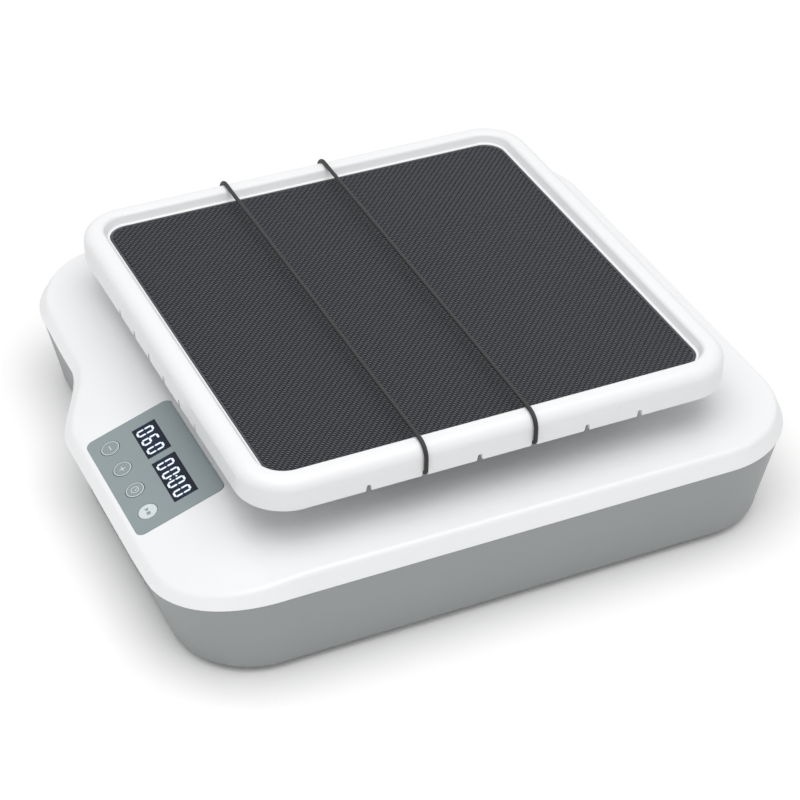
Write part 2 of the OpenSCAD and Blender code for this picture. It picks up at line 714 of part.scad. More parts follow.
// Square-section lead through a list of points.
module lead(path, size) {
    for (i = [0:len(path) - 2]) {
        low = [for (k = [0:2]) min(path[i][k], path[i + 1][k]) - size / 2];
        high = [for (k = [0:2]) max(path[i][k], path[i + 1][k]) + size / 2];
        translate(low) cube(high - low);
    }
}
cable_d = 4;
cable_z = plate_top + bracket_t + cable_d / 2 + fit_gap;   // above the chassis plate
under_z = floor_z + cable_d / 2 + 0.5;                     // on the base's floor
board_edge_x = driver_corner[0] + driver_size[0];
board_low = driver_corner[2] - cable_d / 2 - touch_gap;
plug_in = 4;                     // the leads meet the board this far in from its edge
beside_board = 3;                // two leads run this far outside that edge
module panel_cable() {
    x = panel_x - 24;
    y = slope_y - 22;
    gap_y = chassis_front - 7;
    under_board = 1.2;
    top = cover_z(y) - (board_t - board_w + under_board) / cos(panel_tilt) - cable_d / 2;
    board_x = board_edge_x + beside_board;
    board_y = driver_corner[1] + 16;
    color([0.75, 0.75, 0.72]) lead([[x, y, top], [x, y, under_z], [x, gap_y, under_z],
        [board_x, gap_y, under_z], [board_x, gap_y, cable_z], [board_x, board_y, cable_z],
        [board_edge_x - plug_in, board_y, cable_z],
        [board_edge_x - plug_in, board_y, board_low]], cable_d);
}
module motor_cable() {
    x = board_edge_x + beside_board + cable_d + 3;   // clear of the two other leads
    y = driver_corner[1] + driver_size[1] / 2 + 10;
    color([0.12, 0.12, 0.12]) lead([
        [-(motor_d + cable_d) / 2 - touch_gap, motor_y, cable_z], [x, motor_y, cable_z],
        [x, y, cable_z], [board_edge_x - plug_in, y, cable_z],
        [board_edge_x - plug_in, y, board_low]], cable_d);
}
module power_cable() {
    x = board_edge_x + beside_board;
    y = driver_corner[1] + driver_size[1] - 16;
    rear = pocket_face_y - inlet_depth - cable_d / 2 - touch_gap;
    color([0.12, 0.12, 0.12]) lead([[inlet_x, rear, connector_z], [x, rear, connector_z],
        [x, rear, cable_z], [x, y, cable_z], [board_edge_x - plug_in, y, cable_z],
        [board_edge_x - plug_in, y, board_low]], cable_d);
}
module power_inlet() {
    // barrel socket: the plug's sleeve goes into the ring round the middle pin
    block = 14;
    rim_t = 2;
    color([0.1, 0.1, 0.1]) translate([inlet_x, pocket_face_y, connector_z]) difference() {
        union() {
            translate([0, rim_t, 0]) rotate([90, 0, 0]) {
                cylinder(d = inlet_hole_d, h = inlet_depth - rim_t);
                cylinder(d = inlet_hole_d + 4, h = rim_t - touch_gap);
            }
            translate([-block / 2, -inlet_depth, -block / 2])
                cube([block, inlet_depth - wall - touch_gap, block]);
        }
        translate([0, 2 * rim_t, 0]) rotate([90, 0, 0]) ring(6.5, 2, block);
    }
}
rocker_w = 13.2;
rocker_h = 9.2;
rocker_tilt = 10;
module power_switch() {
    depth = 16;
    bezel = 1.2;
    room = [rocker_w + 2, rocker_h + 0.8];
    color([0.08, 0.08, 0.08]) translate([switch_x, pocket_face_y, connector_z]) difference() {
        union() {
            translate([-switch_cut[0] / 2, -depth, -switch_cut[1] / 2])
                cube([switch_cut[0], depth + 0.5, switch_cut[1]]);
            translate([-switch_cut[0] / 2 - bezel, touch_gap, -switch_cut[1] / 2 - bezel])
                cube([switch_cut[0] + 2 * bezel, 1.8, switch_cut[1] + 2 * bezel]);
        }
        translate([-room[0] / 2, -6, -room[1] / 2]) cube([room[0], 20, room[1]]);
    }
}
module switch_rocker() {
    // see-saw on a cross pin, resting with its right half pressed in
    half = rocker_w / 2;
    color([0.05, 0.05, 0.05]) translate([switch_x, pocket_face_y, connector_z])
        rotate(-rocker_tilt) translate([0, 0, -rocker_h / 2]) linear_extrude(rocker_h)
        polygon([[-half, 2.2], [0, 0.8], [half, 2.2], [half, -0.6], [3, -2.4], [-3, -2.4],
            [-half, -0.6]]);
}

// ---- cranks ---------------------------------------------------------------
module crank_web(hub_d, pin_hub_d) {
    // two discs joined into one plate
    union() {
        cylinder(d = hub_d, h = hub_t);
        translate([0, -orbit_r, 0]) cylinder(d = pin_hub_d, h = hub_t);
    }
}
module crank(shaft_d, pin_d, web_discs) {
    foot = plate_top + 0.8;      // clear of the chassis plate
    translate([0, 0, foot]) cylinder(r = shaft_d / 2 - run_gap, h = hub_z - foot + eps);
    translate([0, 0, hub_z]) crank_web(web_discs[0], web_discs[1]);
    translate([0, -orbit_r, hub_z + hub_t - eps])
        cylinder(r = pin_d / 2 - run_gap, h = pin_top - hub_z - hub_t + eps);
}
module main_crank() {
    color(steel) translate([0, crank_y, 0]) crank(main_shaft_d, main_pin_d, [30, 24]);
}
module drive_pulley() {
    // the magnet's seat takes the place of a sixth round window
    window_d = 18;
    window_r = (pulley_d / 2 + main_shaft_d / 2) / 2 + 1.25;
    color([0.75, 0.75, 0.77]) translate([0, crank_y, pulley_z]) difference() {
        pulley(pulley_d, main_shaft_d) {
            for (a = [0, 60, 120, 240, 300]) rotate(a) translate([window_r, 0, -1])
                cylinder(d = window_d, h = 30);
            translate([-magnet_r, 0, -1])
                cylinder(r = magnet_d / 2 + touch_gap, h = 1 + magnet_h + 0.1);
        }
    }
}
module sensor_magnet() {
    color([0.8, 0.8, 0.82]) translate([-magnet_r, crank_y, pulley_z])
        cylinder(d = magnet_d, h = magnet_h);
}
weight_screw_x = 12;
weight_screw_d = 3;
module counterweight() {
    // sector opposite the crank pin
    reach = min(56, motor_gap - motor_pulley_d / 2 - 12);
    sector_y = 8;
    color([0.45, 0.46, 0.48]) translate([0, crank_y, weight_z]) difference() {
        union() {
            cylinder(d = 2 * weight_screw_x + 10, h = weight_t);
            intersection() {
                cylinder(r = reach, h = weight_t);
                translate([-reach, sector_y, -1]) cube([2 * reach, reach, weight_t + 2]);
            }
        }
        translate([0, 0, -1]) cylinder(d = main_shaft_d, h = 20);
        for (x = [-1, 1]) translate([x * weight_screw_x, 0, -1])
            cylinder(r = weight_screw_d / 2 + touch_gap, h = 20);
    }
}
module crank_screws() {
    // their tips stop just above the pulley
    tip = 0.9;
    color(steel) for (x = [-1, 1]) translate([x * weight_screw_x, crank_y, weight_z - tip])
        pan_screw(weight_screw_d, tip + weight_t + touch_gap, 5.5, 1.8);
}
module idler_crank(i) {
    color(steel) translate(idler_xy[i]) crank(idler_shaft_d, idler_pin_d, [24, 18]);
}
module idler_crank_1() { idler_crank(0); }
module idler_crank_2() { idler_crank(1); }
module idler_crank_3() { idler_crank(2); }
module idler_crank_4() { idler_crank(3); }

// ---- carrier ----------------------------------------------------------------
carrier_w = 2 * idler_step + boss_d + 8;
carrier_r = 20;
bearing_z = boss_low + clip_t + 0.6;
bearing_lip = 2;           // ledge above each bearing, and width of its clip
window_d = 46;             // lightening windows between the bosses
tray_screw_xy = idler_step - 30;
tray_screw_spots = [for (x = [-1, 1], y = [-1, 1])
    [x * tray_screw_xy, y * tray_screw_xy + tray_y]];
tray_screw_d = 4;
tray_screw_head = [8, 1.2];
screw_seat = 1.2;          // deck left under a tray screw's head
module bearing_seat(bearing) {
    translate([0, 0, -1]) cylinder(r = bearing[0] / 2 + touch_gap,
        h = 1 + bearing_z - boss_low + bearing[1] + touch_gap);
    cylinder(d = bearing[0] - 2 * bearing_lip, h = 12);
}
module carrier_plate() {
    color([0.7, 0.71, 0.73]) difference() {
        union() {
            translate([0, tray_y, deck_low - carrier_t])
                rounded_plate(carrier_w, carrier_w, carrier_r, carrier_t);
            translate([0, tray_y, boss_low]) cylinder(d = boss_d_centre, h = boss_h);
            at_tray_corners() translate([0, 0, boss_low]) cylinder(d = boss_d, h = boss_h);
        }
        translate([0, tray_y, boss_low]) bearing_seat(centre_bearing_size);
        at_tray_corners() translate([0, 0, boss_low]) bearing_seat(corner_bearing_size);
        for (p = tray_screw_spots) translate([p[0], p[1], deck_low - 10])
            cylinder(r = tray_screw_d / 2 + touch_gap, h = 20);
        for (p = [[0.55, 0], [-0.55, 0], [0, 0.6], [0, -0.6]] * idler_step)
            translate([p[0], tray_y + p[1], deck_low - 10]) cylinder(d = window_d, h = 20);
    }
}
module centre_bearing() {
    color(steel) translate([0, tray_y, bearing_z])
        ball_bearing(centre_bearing_size[0], main_pin_d, centre_bearing_size[1]);
}
module corner_bearings() {
    color(steel) at_tray_corners() translate([0, 0, bearing_z])
        ball_bearing(corner_bearing_size[0], idler_pin_d, corner_bearing_size[1]);
}
module bearing_clips() {
    color([0.3, 0.3, 0.32]) {
        translate([0, tray_y, bearing_z - clip_t - touch_gap])
            ring(centre_bearing_size[0], centre_bearing_size[0] - 2 * bearing_lip, clip_t);
        at_tray_corners() translate([0, 0, bearing_z - clip_t - touch_gap])
            ring(corner_bearing_size[0], corner_bearing_size[0] - 2 * bearing_lip, clip_t);
    }
}

// ---- tray -------------------------------------------------------------------
side_notch_y = [for (i = [-2.5:1:2.5]) i * notch_pitch_side];
front_notch_x = [for (i = [-2.5:1:2.5]) i * notch_pitch_front];
module rounded_ring(w, r, low, high) {
    translate([0, 0, low]) rounded_plate(w, w, r, high - low);
}
module tray_notches() {
    // slots open at the skirt's lower edge, narrower at the top
    top_w = notch_w / 2 - 0.7;
    module slot() {
        rotate([90, 0, 90]) linear_extrude(2 * tray_w, center = true)
            polygon([[-notch_w / 2, tray_low - 1], [notch_w / 2, tray_low - 1],
                [top_w, tray_low + notch_h], [-top_w, tray_low + notch_h]]);
    }
    for (y = side_notch_y) translate([0, y, 0]) slot();
    for (x = front_notch_x) translate([x, 0, 0]) rotate(90) slot();
}
module tray() {
    // the outer shoulder in two steps: how far in, and how far below the rim
    step = [[1.5, 3], [4.5, 1.2]];
    // the rim's inner slope as one step: how far out, and how far above the mat
    inner_step = [3, 2.5];
    color(cover_white) translate([0, tray_y, 0]) difference() {
        union() {
            rounded_ring(tray_w, tray_r, tray_low, rim_z - step[0][1]);
            rounded_ring(tray_w - 2 * step[0][0], tray_r - step[0][0],
                rim_z - step[0][1] - eps, rim_z - step[1][1]);
            rounded_ring(tray_w - 2 * step[1][0], tray_r - step[1][0],
                rim_z - step[1][1] - eps, rim_z);
        }
        // well that the mat lies in
        rounded_ring(mat_w + 2 * inner_step[0], mat_r + inner_step[0], mat_top + inner_step[1],
            rim_z + 1);
        rounded_ring(mat_w, mat_r, deck_top, rim_z + 1);
        // hollow under the deck
        rounded_ring(tray_w - 2 * tray_wall, tray_r - tray_wall, tray_low - 1, deck_low);
        tray_notches();
        for (p = tray_screw_spots) translate([p[0], p[1] - tray_y, deck_low - 1]) {
            cylinder(r = tray_screw_d / 2 + touch_gap, h = 10);
            translate([0, 0, 1 + screw_seat]) cylinder(d = tray_screw_head[0] + 0.4, h = 10);
        }
    }
}
module tray_screws() {
    // flat heads sunk in the deck, tips just below the carrier
    under = 1;
    len = under + carrier_t + screw_seat + touch_gap;
    color(steel) for (p = tray_screw_spots) translate([p[0], p[1], deck_low - carrier_t - under]) {
        cylinder(d = tray_screw_d, h = len);
        translate([0, 0, len - eps]) difference() {
            cylinder(d = tray_screw_head[0], h = tray_screw_head[1] + eps);
            translate([0, 0, 0.5]) cylinder(d = 2.5, h = 3, $fn = 6);
        }
    }
}
module tray_mat() {
    color([0.16, 0.16, 0.17]) translate([0, tray_y, 0])
        rounded_ring(mat_w - 2 * touch_gap, mat_r, deck_top, mat_top);
}
// A band is a stretched loop: over both rims, down the sides, in through a
// notch on each side and straight back under the carrier.
module band(y) {
    bend = 3;
    rest_gap = 0.1;
    side_x = tray_w / 2 + band_d / 2 + rest_gap;
    high = rim_z + band_d / 2 + rest_gap;
    low = tray_low + notch_h - band_d / 2 - 0.9;
    module corner(turn) {
        rotate([90, 0, 0]) rotate(turn) rotate_extrude(angle = 90) translate([bend, 0])
            circle(d = band_d, $fn = 24);
    }
    module rod(x, z, along, len) {
        translate([x, 0, z]) rotate(along) cylinder(d = band_d, h = len, $fn = 24);
    }
    color([0.07, 0.07, 0.07]) translate([0, tray_y + y, 0]) {
        rod(bend - side_x, high, [0, 90, 0], 2 * (side_x - bend));
        rod(bend - side_x, low, [0, 90, 0], 2 * (side_x - bend));
        for (x = [-1, 1]) rod(x * side_x, low + bend, [0, 0, 0], high - low - 2 * bend);
        translate([side_x - bend, 0, high - bend]) corner(0);
        translate([bend - side_x, 0, high - bend]) corner(90);
        translate([bend - side_x, 0, low + bend]) corner(180);
        translate([side_x - bend, 0, low + bend]) corner(270);
    }
}
module front_band() { band(side_notch_y[1]); }
module rear_band() { band(side_notch_y[3]); }

base_tub();
top_cover();
rubber_feet();
foot_screws();
cover_screws();
control_panel();
speed_display();
time_display();
control_board();
key_switches();
panel_cable();
chassis_plate();
chassis_screws();
main_bearing_housing();
main_bearings();
idler_bearing_housings();
idler_bearings();
housing_screws();
shaft_seals();
motor_bracket();
motor_body();
motor_screws();
drive_belt();
driver_board();
board_standoffs();
speed_sensor();
motor_cable();
power_cable();
power_inlet();
power_switch();
main_crank();
drive_pulley();
counterweight();
crank_screws();
sensor_magnet();
idler_crank_1();
idler_crank_2();
idler_crank_3();
idler_crank_4();
motor_shaft();
motor_pulley();
carrier_plate();
centre_bearing();
corner_bearings();
bearing_clips();
tray();
tray_screws();
tray_mat();
front_band();
rear_band();
key_minus();
key_plus();
key_time();
key_run();
switch_rocker();
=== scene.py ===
import json
import math

import bmesh
import bpy
from bpy.props import FloatProperty, FloatVectorProperty, PointerProperty
from bpy.types import Operator, Panel, PropertyGroup
from mathutils import Matrix, Vector


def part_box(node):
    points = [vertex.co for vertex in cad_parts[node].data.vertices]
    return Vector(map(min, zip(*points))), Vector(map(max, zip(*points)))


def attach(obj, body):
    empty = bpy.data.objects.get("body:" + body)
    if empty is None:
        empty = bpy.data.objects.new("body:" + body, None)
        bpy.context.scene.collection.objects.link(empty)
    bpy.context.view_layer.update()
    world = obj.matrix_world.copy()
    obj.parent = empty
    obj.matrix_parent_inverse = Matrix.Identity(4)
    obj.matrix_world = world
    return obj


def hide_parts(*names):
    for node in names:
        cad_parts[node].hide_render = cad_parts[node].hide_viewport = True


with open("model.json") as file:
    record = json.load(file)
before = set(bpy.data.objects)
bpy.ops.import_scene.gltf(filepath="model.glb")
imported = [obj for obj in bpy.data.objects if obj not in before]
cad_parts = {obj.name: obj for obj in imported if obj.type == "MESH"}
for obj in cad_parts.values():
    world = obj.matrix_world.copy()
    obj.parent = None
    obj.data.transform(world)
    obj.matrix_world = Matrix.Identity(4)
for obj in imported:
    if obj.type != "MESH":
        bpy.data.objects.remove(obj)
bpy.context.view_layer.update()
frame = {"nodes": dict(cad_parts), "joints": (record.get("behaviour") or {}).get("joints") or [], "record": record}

bl_info = {
    "name": "Orbital Shaker Finish",
    "version": (1, 0, 0),
    "blender": (4, 5, 0),
    "location": "View3D > Sidebar > Shaker",
    "description": "Shells, mat, bands, panel and finishes of a benchtop orbital shaker",
    "category": "Object",
}

MM = 0.001
ARC_STEPS = 24        # per quarter turn of a corner
SWELL_STEPS = 20      # along the chin's swelling curve
ROUND_STEPS = 6       # across a rounded edge


# ---- settings -----------------------------------------------------------------

def length(name, description, millimetres):
    """A length the user may change, given in millimetres and held in metres."""
    return FloatProperty(name=name, description=description, default=millimetres * MM,
                         min=0.0, precision=5, subtype="DISTANCE", unit="LENGTH")


def angle(name, description, degrees):
    """An angle the user may change, given in degrees and held in radians."""
    return FloatProperty(name=name, description=description, default=math.radians(degrees),
                         subtype="ANGLE", unit="ROTATION")


def colour(name, description, rgb):
    """A linear colour the user may change."""
    return FloatVectorProperty(name=name, description=description, default=rgb, size=3,
                               min=0.0, max=1.0, subtype="COLOR")


class HousingSizes(PropertyGroup):
    """Sizes of the moulded cover and base."""
    top: length("Cover height", "Height of the level top above the table", 75.7)
    seam: length("Seam height", "Height of the parting line above the table", 64)
    foot_gap: length("Foot height", "Height of the underside above the table", 4)
    wall: length("Wall", "Wall of the moulded shells", 3)
    rear_corner: length("Rear corners", "Radius of the rear corners in plan", 64)
    left_corner: length("Left corner", "Radius of the front left corner in plan", 50)
    chin_corner: length("Chin corner", "Radius of the chin's right corner in plan", 62)
    chin_out: length("Chin", "How far the chin stands out in front", 25)
    chin_blend: length("Chin blend", "Width of the chin's swelling curve", 66)
    chin_left: length("Chin start", "How far left of the middle the chin swells out", 50)
    slope_run: length("Slope", "Depth of the sloped front, measured level", 65)
    slope_tilt: angle("Slope tilt", "Slope of the front of the cover", 19.4)
    band_in: length("Band lean", "How far the cover's flat edge band leans in", 4.2)
    edge_in: length("Edge rounding", "Where the rounding meets the level top", 7.6)
    base_draw: length("Base draft", "How far the base draws in towards its underside", 12)
    base_round: length("Underside rounding", "Radius of the rounding round the underside", 7)
    base_step: length("Base step", "How far the base stands inside the cover", 0.8)
    seam_gap: length("Seam gap", "Shadow line between cover and base", 0.4)
    collar_rise: length("Collar height", "Height of the shaft collars above the top", 2.6)
    boss: length("Boss", "Radius of the bosses for the cover and foot screws", 6)
    plate_boss: length("Plate boss", "Radius of the bosses for the chassis plate", 5)
    screw_hole: length("Screw hole", "Radius of the screws' holes", 2.05)
    head_hole: length("Head hole", "Radius of the holes for the screws' heads", 4)


class TraySizes(PropertyGroup):
    """Sizes of the tray, its mat and the bands."""
    corner: length("Corner", "Outer corner radius of the tray", 31)
    wall: length("Skirt", "Wall of the tray's skirt", 3)
    rim: length("Rim", "Width of the rim beside the mat", 17)
    rim_rise: length("Rim height", "Height of the rim above the mat", 6.5)
    shoulder: length("Shoulder", "Radius of the rim's outer shoulder", 8)
    deck: length("Deck", "Thickness of the tray's deck", 2.5)
    notch_width: length("Notch width", "Width of a notch at the lower edge", 4.2)
    notch_height: length("Notch height", "Height of a notch", 4.6)
    side_pitch: length("Side notches", "Distance between notches on the left and right", 35.6)
    front_pitch: length("Front notches", "Distance between notches in front and behind", 26.2)
    mat_corner: length("Mat corner", "Corner radius of the mat", 15)
    mat_border: length("Mat border", "Plain border round the mat's relief", 1.8)
    pad_pitch: length("Pad rows", "Distance between the relief's rows of pads", 3.1)
    pad_step: length("Pad step", "Distance from pad to pad in a row", 1.9)
    pad_height: length("Pad height", "Height of the relief", 0.6)


class PanelSizes(PropertyGroup):
    """Sizes of the digits and the keys' print."""
    digit_height: length("Digit height", "Height of a digit along the slope", 11.6)
    digit_width: length("Digit width", "Width of a digit", 5.9)
    stroke: length("Stroke", "Width of a digit's strokes", 1.35)
    stroke_gap: length("Stroke gap", "Gap at each end of a stroke", 0.18)
    side_margin: length("Side margin", "From a window's side to its digits", 1.3)
    foot_margin: length("Foot margin", "From a window's front edge to its digits", 1.5)
    print_height: length("Print height", "How far the lit strokes stand up", 0.06)
    key_round: length("Key rounding", "Rounding of a key's edge", 0.35)
    key_dish: length("Key dish", "Depth of a key's hollow", 0.12)
    key_stem: length("Key stem", "Radius of the stem under a key", 1.8)
    key_cap: length("Key cap", "Thickness of a key's cap", 1.4)
    ring_in: length("Ring", "From a key's edge to its outline", 0.25)
    ring_width: length("Ring width", "Width of a key's outline", 0.5)
    sign_stroke: length("Sign stroke", "Width of the less and more signs", 0.55)
    clock_stroke: length("Clock stroke", "Width of the clock sign's lines", 0.45)


class FinishColours(PropertyGroup):
    """Colours of the finishes."""
    cover: colour("Cover", "White moulded plastic", (0.87, 0.875, 0.885))
    base: colour("Base", "Grey moulded plastic", (0.325, 0.34, 0.343))
    panel: colour("Panel", "Printed overlay", (0.235, 0.29, 0.30))
    print_light: colour("Key print", "Outlines and signs on the keys", (0.66, 0.72, 0.73))
    display: colour("Display", "Window over the digits", (0.004, 0.006, 0.013))
    digit: colour("Digits", "Light of the digits", (0.80, 0.90, 1.0))
    mat: colour("Mat", "Raised pads of the mat", (0.052, 0.056, 0.068))
    rubber: colour("Rubber", "Feet, seals and bands", (0.012, 0.012, 0.013))


class StageSettings(PropertyGroup):
    """Camera and lamps."""
    camera_place: FloatVectorProperty(
        name="Camera", description="Where the camera stands", size=3,
        default=(1.1676, -0.5426, 0.9879), subtype="TRANSLATION", unit="LENGTH")
    azimuth: angle("Azimuth", "Direction the camera looks from, round the object", 64.65)
    elevation: angle("Elevation", "How far the camera looks down", 36.55)
    roll: angle("Roll", "Turn of the camera about its own axis", 0.95)
    lens: FloatProperty(name="Lens", description="Focal length in millimetres", default=110.8,
                        min=1.0)
    lamp: FloatProperty(name="Overhead lamp", description="Power of the large soft lamp",
                        default=35.0, min=0.0, unit="POWER")
    lamp_size: length("Lamp size", "Side of the square lamp", 2400)
    lamp_height: length("Lamp height", "Height of the lamp above the floor", 2200)
    lamp_near: length("Lamp offset", "How far the lamp stands towards the camera", 450)
    surround: FloatProperty(name="Surround", description="Strength of the white surroundings",
                            default=0.55, min=0.0)


# ---- shader expressions ---------------------------------------------------------

class Field:
    """A value that changes over a surface; Python's operators add the Math nodes."""

    def __init__(self, nodes, socket):
        self.nodes = nodes
        self.socket = socket

    def math(self, operation, *values):
        return self.nodes.node("ShaderNodeMath", {"operation": operation},
                               dict(enumerate(values)))

    def __add__(self, other):
        return self.math("ADD", self, other)

    __radd__ = __add__

    def __sub__(self, other):
        return self.math("SUBTRACT", self, other)

    def __rsub__(self, other):
        return self.math("SUBTRACT", other, self)

    def __mul__(self, other):
        return self.math("MULTIPLY", self, other)

    __rmul__ = __mul__

    def __truediv__(self, other):
        return self.math("DIVIDE", self, other)

    def __pow__(self, other):
        return self.math("POWER", self, other)

    def __abs__(self):
        return self.math("ABSOLUTE", self)

    def within(self, low, high):
        """The value held between two limits."""
        return self.math("MINIMUM", self.math("MAXIMUM", self, low), high)


class Nodes:
    """The node tree of a material or a world."""

    def __init__(self, owner):
        owner.use_nodes = True
        self.tree = owner.node_tree

    def node(self, kind, settings, sockets, output=0):
        """Adds a node, sets it up, fills its sockets and returns one output."""
        made = self.tree.nodes.new(kind)
        for key, value in settings.items():
            setattr(made, key, value)
        for key, value in sockets.items():
            self.fill(made.inputs[key], value)
        return Field(self, made.outputs[output])

    def fill(self, socket, value):
        """Links a field to a socket, or sets the socket to a plain value."""
        if isinstance(value, Field):
            self.tree.links.new(value.socket, socket)
        else:
            socket.default_value = value

    def rays(self, *kinds):
        """1 for a ray of any of these kinds, and 0 for the others."""
        fields = [self.node("ShaderNodeLightPath", {}, {}, kind) for kind in kinds]
        seen = fields[0]
        for field in fields[1:]:
            seen = seen.math("MAXIMUM", seen, field)
        return seen


class Finish(Nodes):
    """One material, built from shader expressions on the object's own coordinates."""

    def __init__(self, name):
        self.material = bpy.data.materials.new(name)
        super().__init__(self.material)
        self.shader = self.tree.nodes["Principled BSDF"]
        self.place = self.node("ShaderNodeTexCoord", {}, {}, "Object")

    def set(self, **sockets):
        """Fills the shader's sockets; an underscore stands for a space."""
        for key, value in sockets.items():
            self.fill(self.shader.inputs[key.replace("_", " ")], value)

    def surface(self, rgb, tone, low, high, rough, **more):
        """Sets a colour, from its low to its high shade as the tone rises, and the rest."""
        self.set(Base_Color=self.mix(tone, shaded(rgb, low), shaded(rgb, high)),
                 Roughness=rough, **more)

    def noise(self, scale, detail=2.0, place=None):
        """Noise from 0 to 1, with this many cells to the metre."""
        return self.node("ShaderNodeTexNoise", {},
                         {"Vector": place or self.place, "Scale": scale, "Detail": detail})

    def along(self, axis):
        """The distance along X, Y or Z."""
        return self.node("ShaderNodeSeparateXYZ", {}, {0: self.place}, axis)

    def stretched(self, x, y, z):
        """The coordinates scaled apart, for a grain that runs one way."""
        return self.node("ShaderNodeVectorMath", {"operation": "MULTIPLY"},
                         {0: self.place, 1: (x, y, z)})

    def mix(self, factor, low, high):
        """A colour between two others."""
        return self.node("ShaderNodeMix", {"data_type": "RGBA"},
                         {0: factor, 6: rgba(low), 7: rgba(high)}, 2)

    def bump(self, height, distance, strength=1.0):
        """A normal that follows a height field; the distance is in metres."""
        self.fill(self.shader.inputs["Normal"], self.node(
            "ShaderNodeBump", {}, {"Height": height, "Distance": distance, "Strength": strength}))
        return self


def rgba(rgb):
    """A colour as four numbers, or the field it already is."""
    return rgb if isinstance(rgb, Field) else (*rgb[:3], 1.0)


def shaded(rgb, share):
    """A colour made darker or lighter by one factor."""
    return tuple(min(1.0, c * share) for c in rgb[:3])


# ---- finishes -----------------------------------------------------------------

def white_plastic(rgb):
    """Satin white moulding: a soft mottle and a very fine skin."""
    f = Finish("white_plastic")
    f.surface(rgb, f.noise(9.0, 3.0), 0.985, 1.015, 0.3 + 0.1 * (f.noise(160.0) - 0.5))
    return f.bump(f.noise(2600.0), 0.00003, 0.5).material


def grey_plastic(rgb):
    """Fine textured grey moulding, a little darker in its pits."""
    f = Finish("grey_plastic")
    grain = f.noise(1500.0, 3.0)
    tone = 0.6 * grain + 0.4 * f.noise(14.0, 3.0)
    f.surface(rgb, tone, 0.93, 1.07, 0.46 + 0.14 * (grain - 0.5))
    return f.bump(grain, 0.00008, 0.7).material


def gloss_overlay(rgb):
    """Printed film under a clear gloss face."""
    f = Finish("gloss_overlay")
    f.surface(rgb, f.noise(900.0), 0.96, 1.04, 0.2 + 0.08 * f.noise(30.0), Coat_Weight=0.5)
    return f.bump(f.noise(220.0, 1.0), 0.00004, 0.4).material


def key_print(rgb):
    """Ink of the key outlines, very slightly uneven."""
    f = Finish("key_print")
    f.surface(rgb, f.noise(1200.0), 0.93, 1.05, 0.35 + 0.05 * f.noise(500.0))
    return f.material


def display_window(rgb, origin, tilt, middle, reach):
    """Near-black window with a faint blue glow along the row of digits."""
    f = Finish("display_window")
    up = ((f.along(1) - origin.y) * math.cos(tilt) + (f.along(2) - origin.z) * math.sin(tilt))
    near = (1 - abs(up - middle) / reach).within(0.0, 1.0)
    dust = f.noise(400.0)
    f.surface(rgb, dust, 0.8, 1.2, 0.12 + 0.06 * dust, Specular_IOR_Level=0.2,
              Emission_Color=f.mix(near ** 1.5, (0.0, 0.0, 0.0), (0.003, 0.012, 0.04)),
              Emission_Strength=1.0)
    return f.material


def lit_digit(rgb):
    """Light of the digits, very slightly uneven."""
    f = Finish("lit_digit")
    f.set(Base_Color=(0.02, 0.02, 0.02, 1.0), Roughness=0.4, Emission_Strength=1.15,
          Emission_Color=f.mix(f.noise(700.0), shaded(rgb, 0.93), shaded(rgb, 1.0)))
    return f.material


def mat_rubber(rgb, valley, crest):
    """Black rubber: a random worn tone on the tops of its pads, and painted shade that makes it far darker down in
    the valleys between them.
    """
    f = Finish("mat_rubber")
    painted_shade_mask = ((f.along(2) - valley) / (crest - valley)).within(0.0, 1.0)
    rub = f.noise(60.0, 4.0)
    grain = f.noise(2400.0)
    worn = f.mix(rub, shaded(rgb, 0.82), shaded(rgb, 1.15))
    # painted shade: the colour darkens to 0.12 of itself down in the valleys between the pads
    f.set(Base_Color=f.mix(painted_shade_mask ** 2, shaded(rgb, 0.12), worn),
          Roughness=0.5 + 0.16 * (rub - 0.5) + 0.1 * grain)
    return f.bump(grain, 0.00005, 0.6).material


def soft_rubber(rgb):
    """Black rubber with a dusty bloom."""
    f = Finish("soft_rubber")
    bloom = f.noise(240.0, 4.0)
    f.surface(rgb, bloom ** 2, 1.0, 2.2, 0.5 + 0.2 * (bloom - 0.5))
    return f.bump(f.noise(3000.0), 0.00005, 0.6).material


def black_plastic(rgb):
    """Moulded black plastic with a fine spark-eroded texture."""
    f = Finish("black_plastic")
    grain = f.noise(2000.0, 3.0)
    f.surface(rgb, grain, 0.7, 1.5, 0.42 + 0.16 * (grain - 0.5))
    return f.bump(grain, 0.00006, 0.6).material


def metal(name, rgb, roughness, grain=(1.0, 1.0, 1.0), scale=900.0):
    """Bare metal; the grain's factors stretch its marks along one way."""
    f = Finish(name)
    marks = f.noise(scale, 3.0, f.stretched(*grain))
    stain = f.noise(35.0, 3.0)
    f.surface(rgb, stain, 0.9, 1.04, roughness + 0.14 * (marks - 0.5) + 0.06 * stain,
              Metallic=1.0)
    return f.bump(marks, 0.00003, 0.5).material


def circuit_board(rgb):
    """Green board with paler strips where the copper runs under the lacquer."""
    f = Finish("circuit_board")
    strip = f.node("ShaderNodeTexWave", {"wave_type": "BANDS", "bands_direction": "DIAGONAL"},
                   {"Vector": f.place, "Scale": 90.0, "Distortion": 5.0, "Detail": 0.0}, 1)
    track = (6 * strip - 3.4).within(0.0, 1.0)
    f.surface(rgb, track, 1.0, 1.7, 0.3 + 0.1 * track)
    return f.bump(track, 0.00005).material


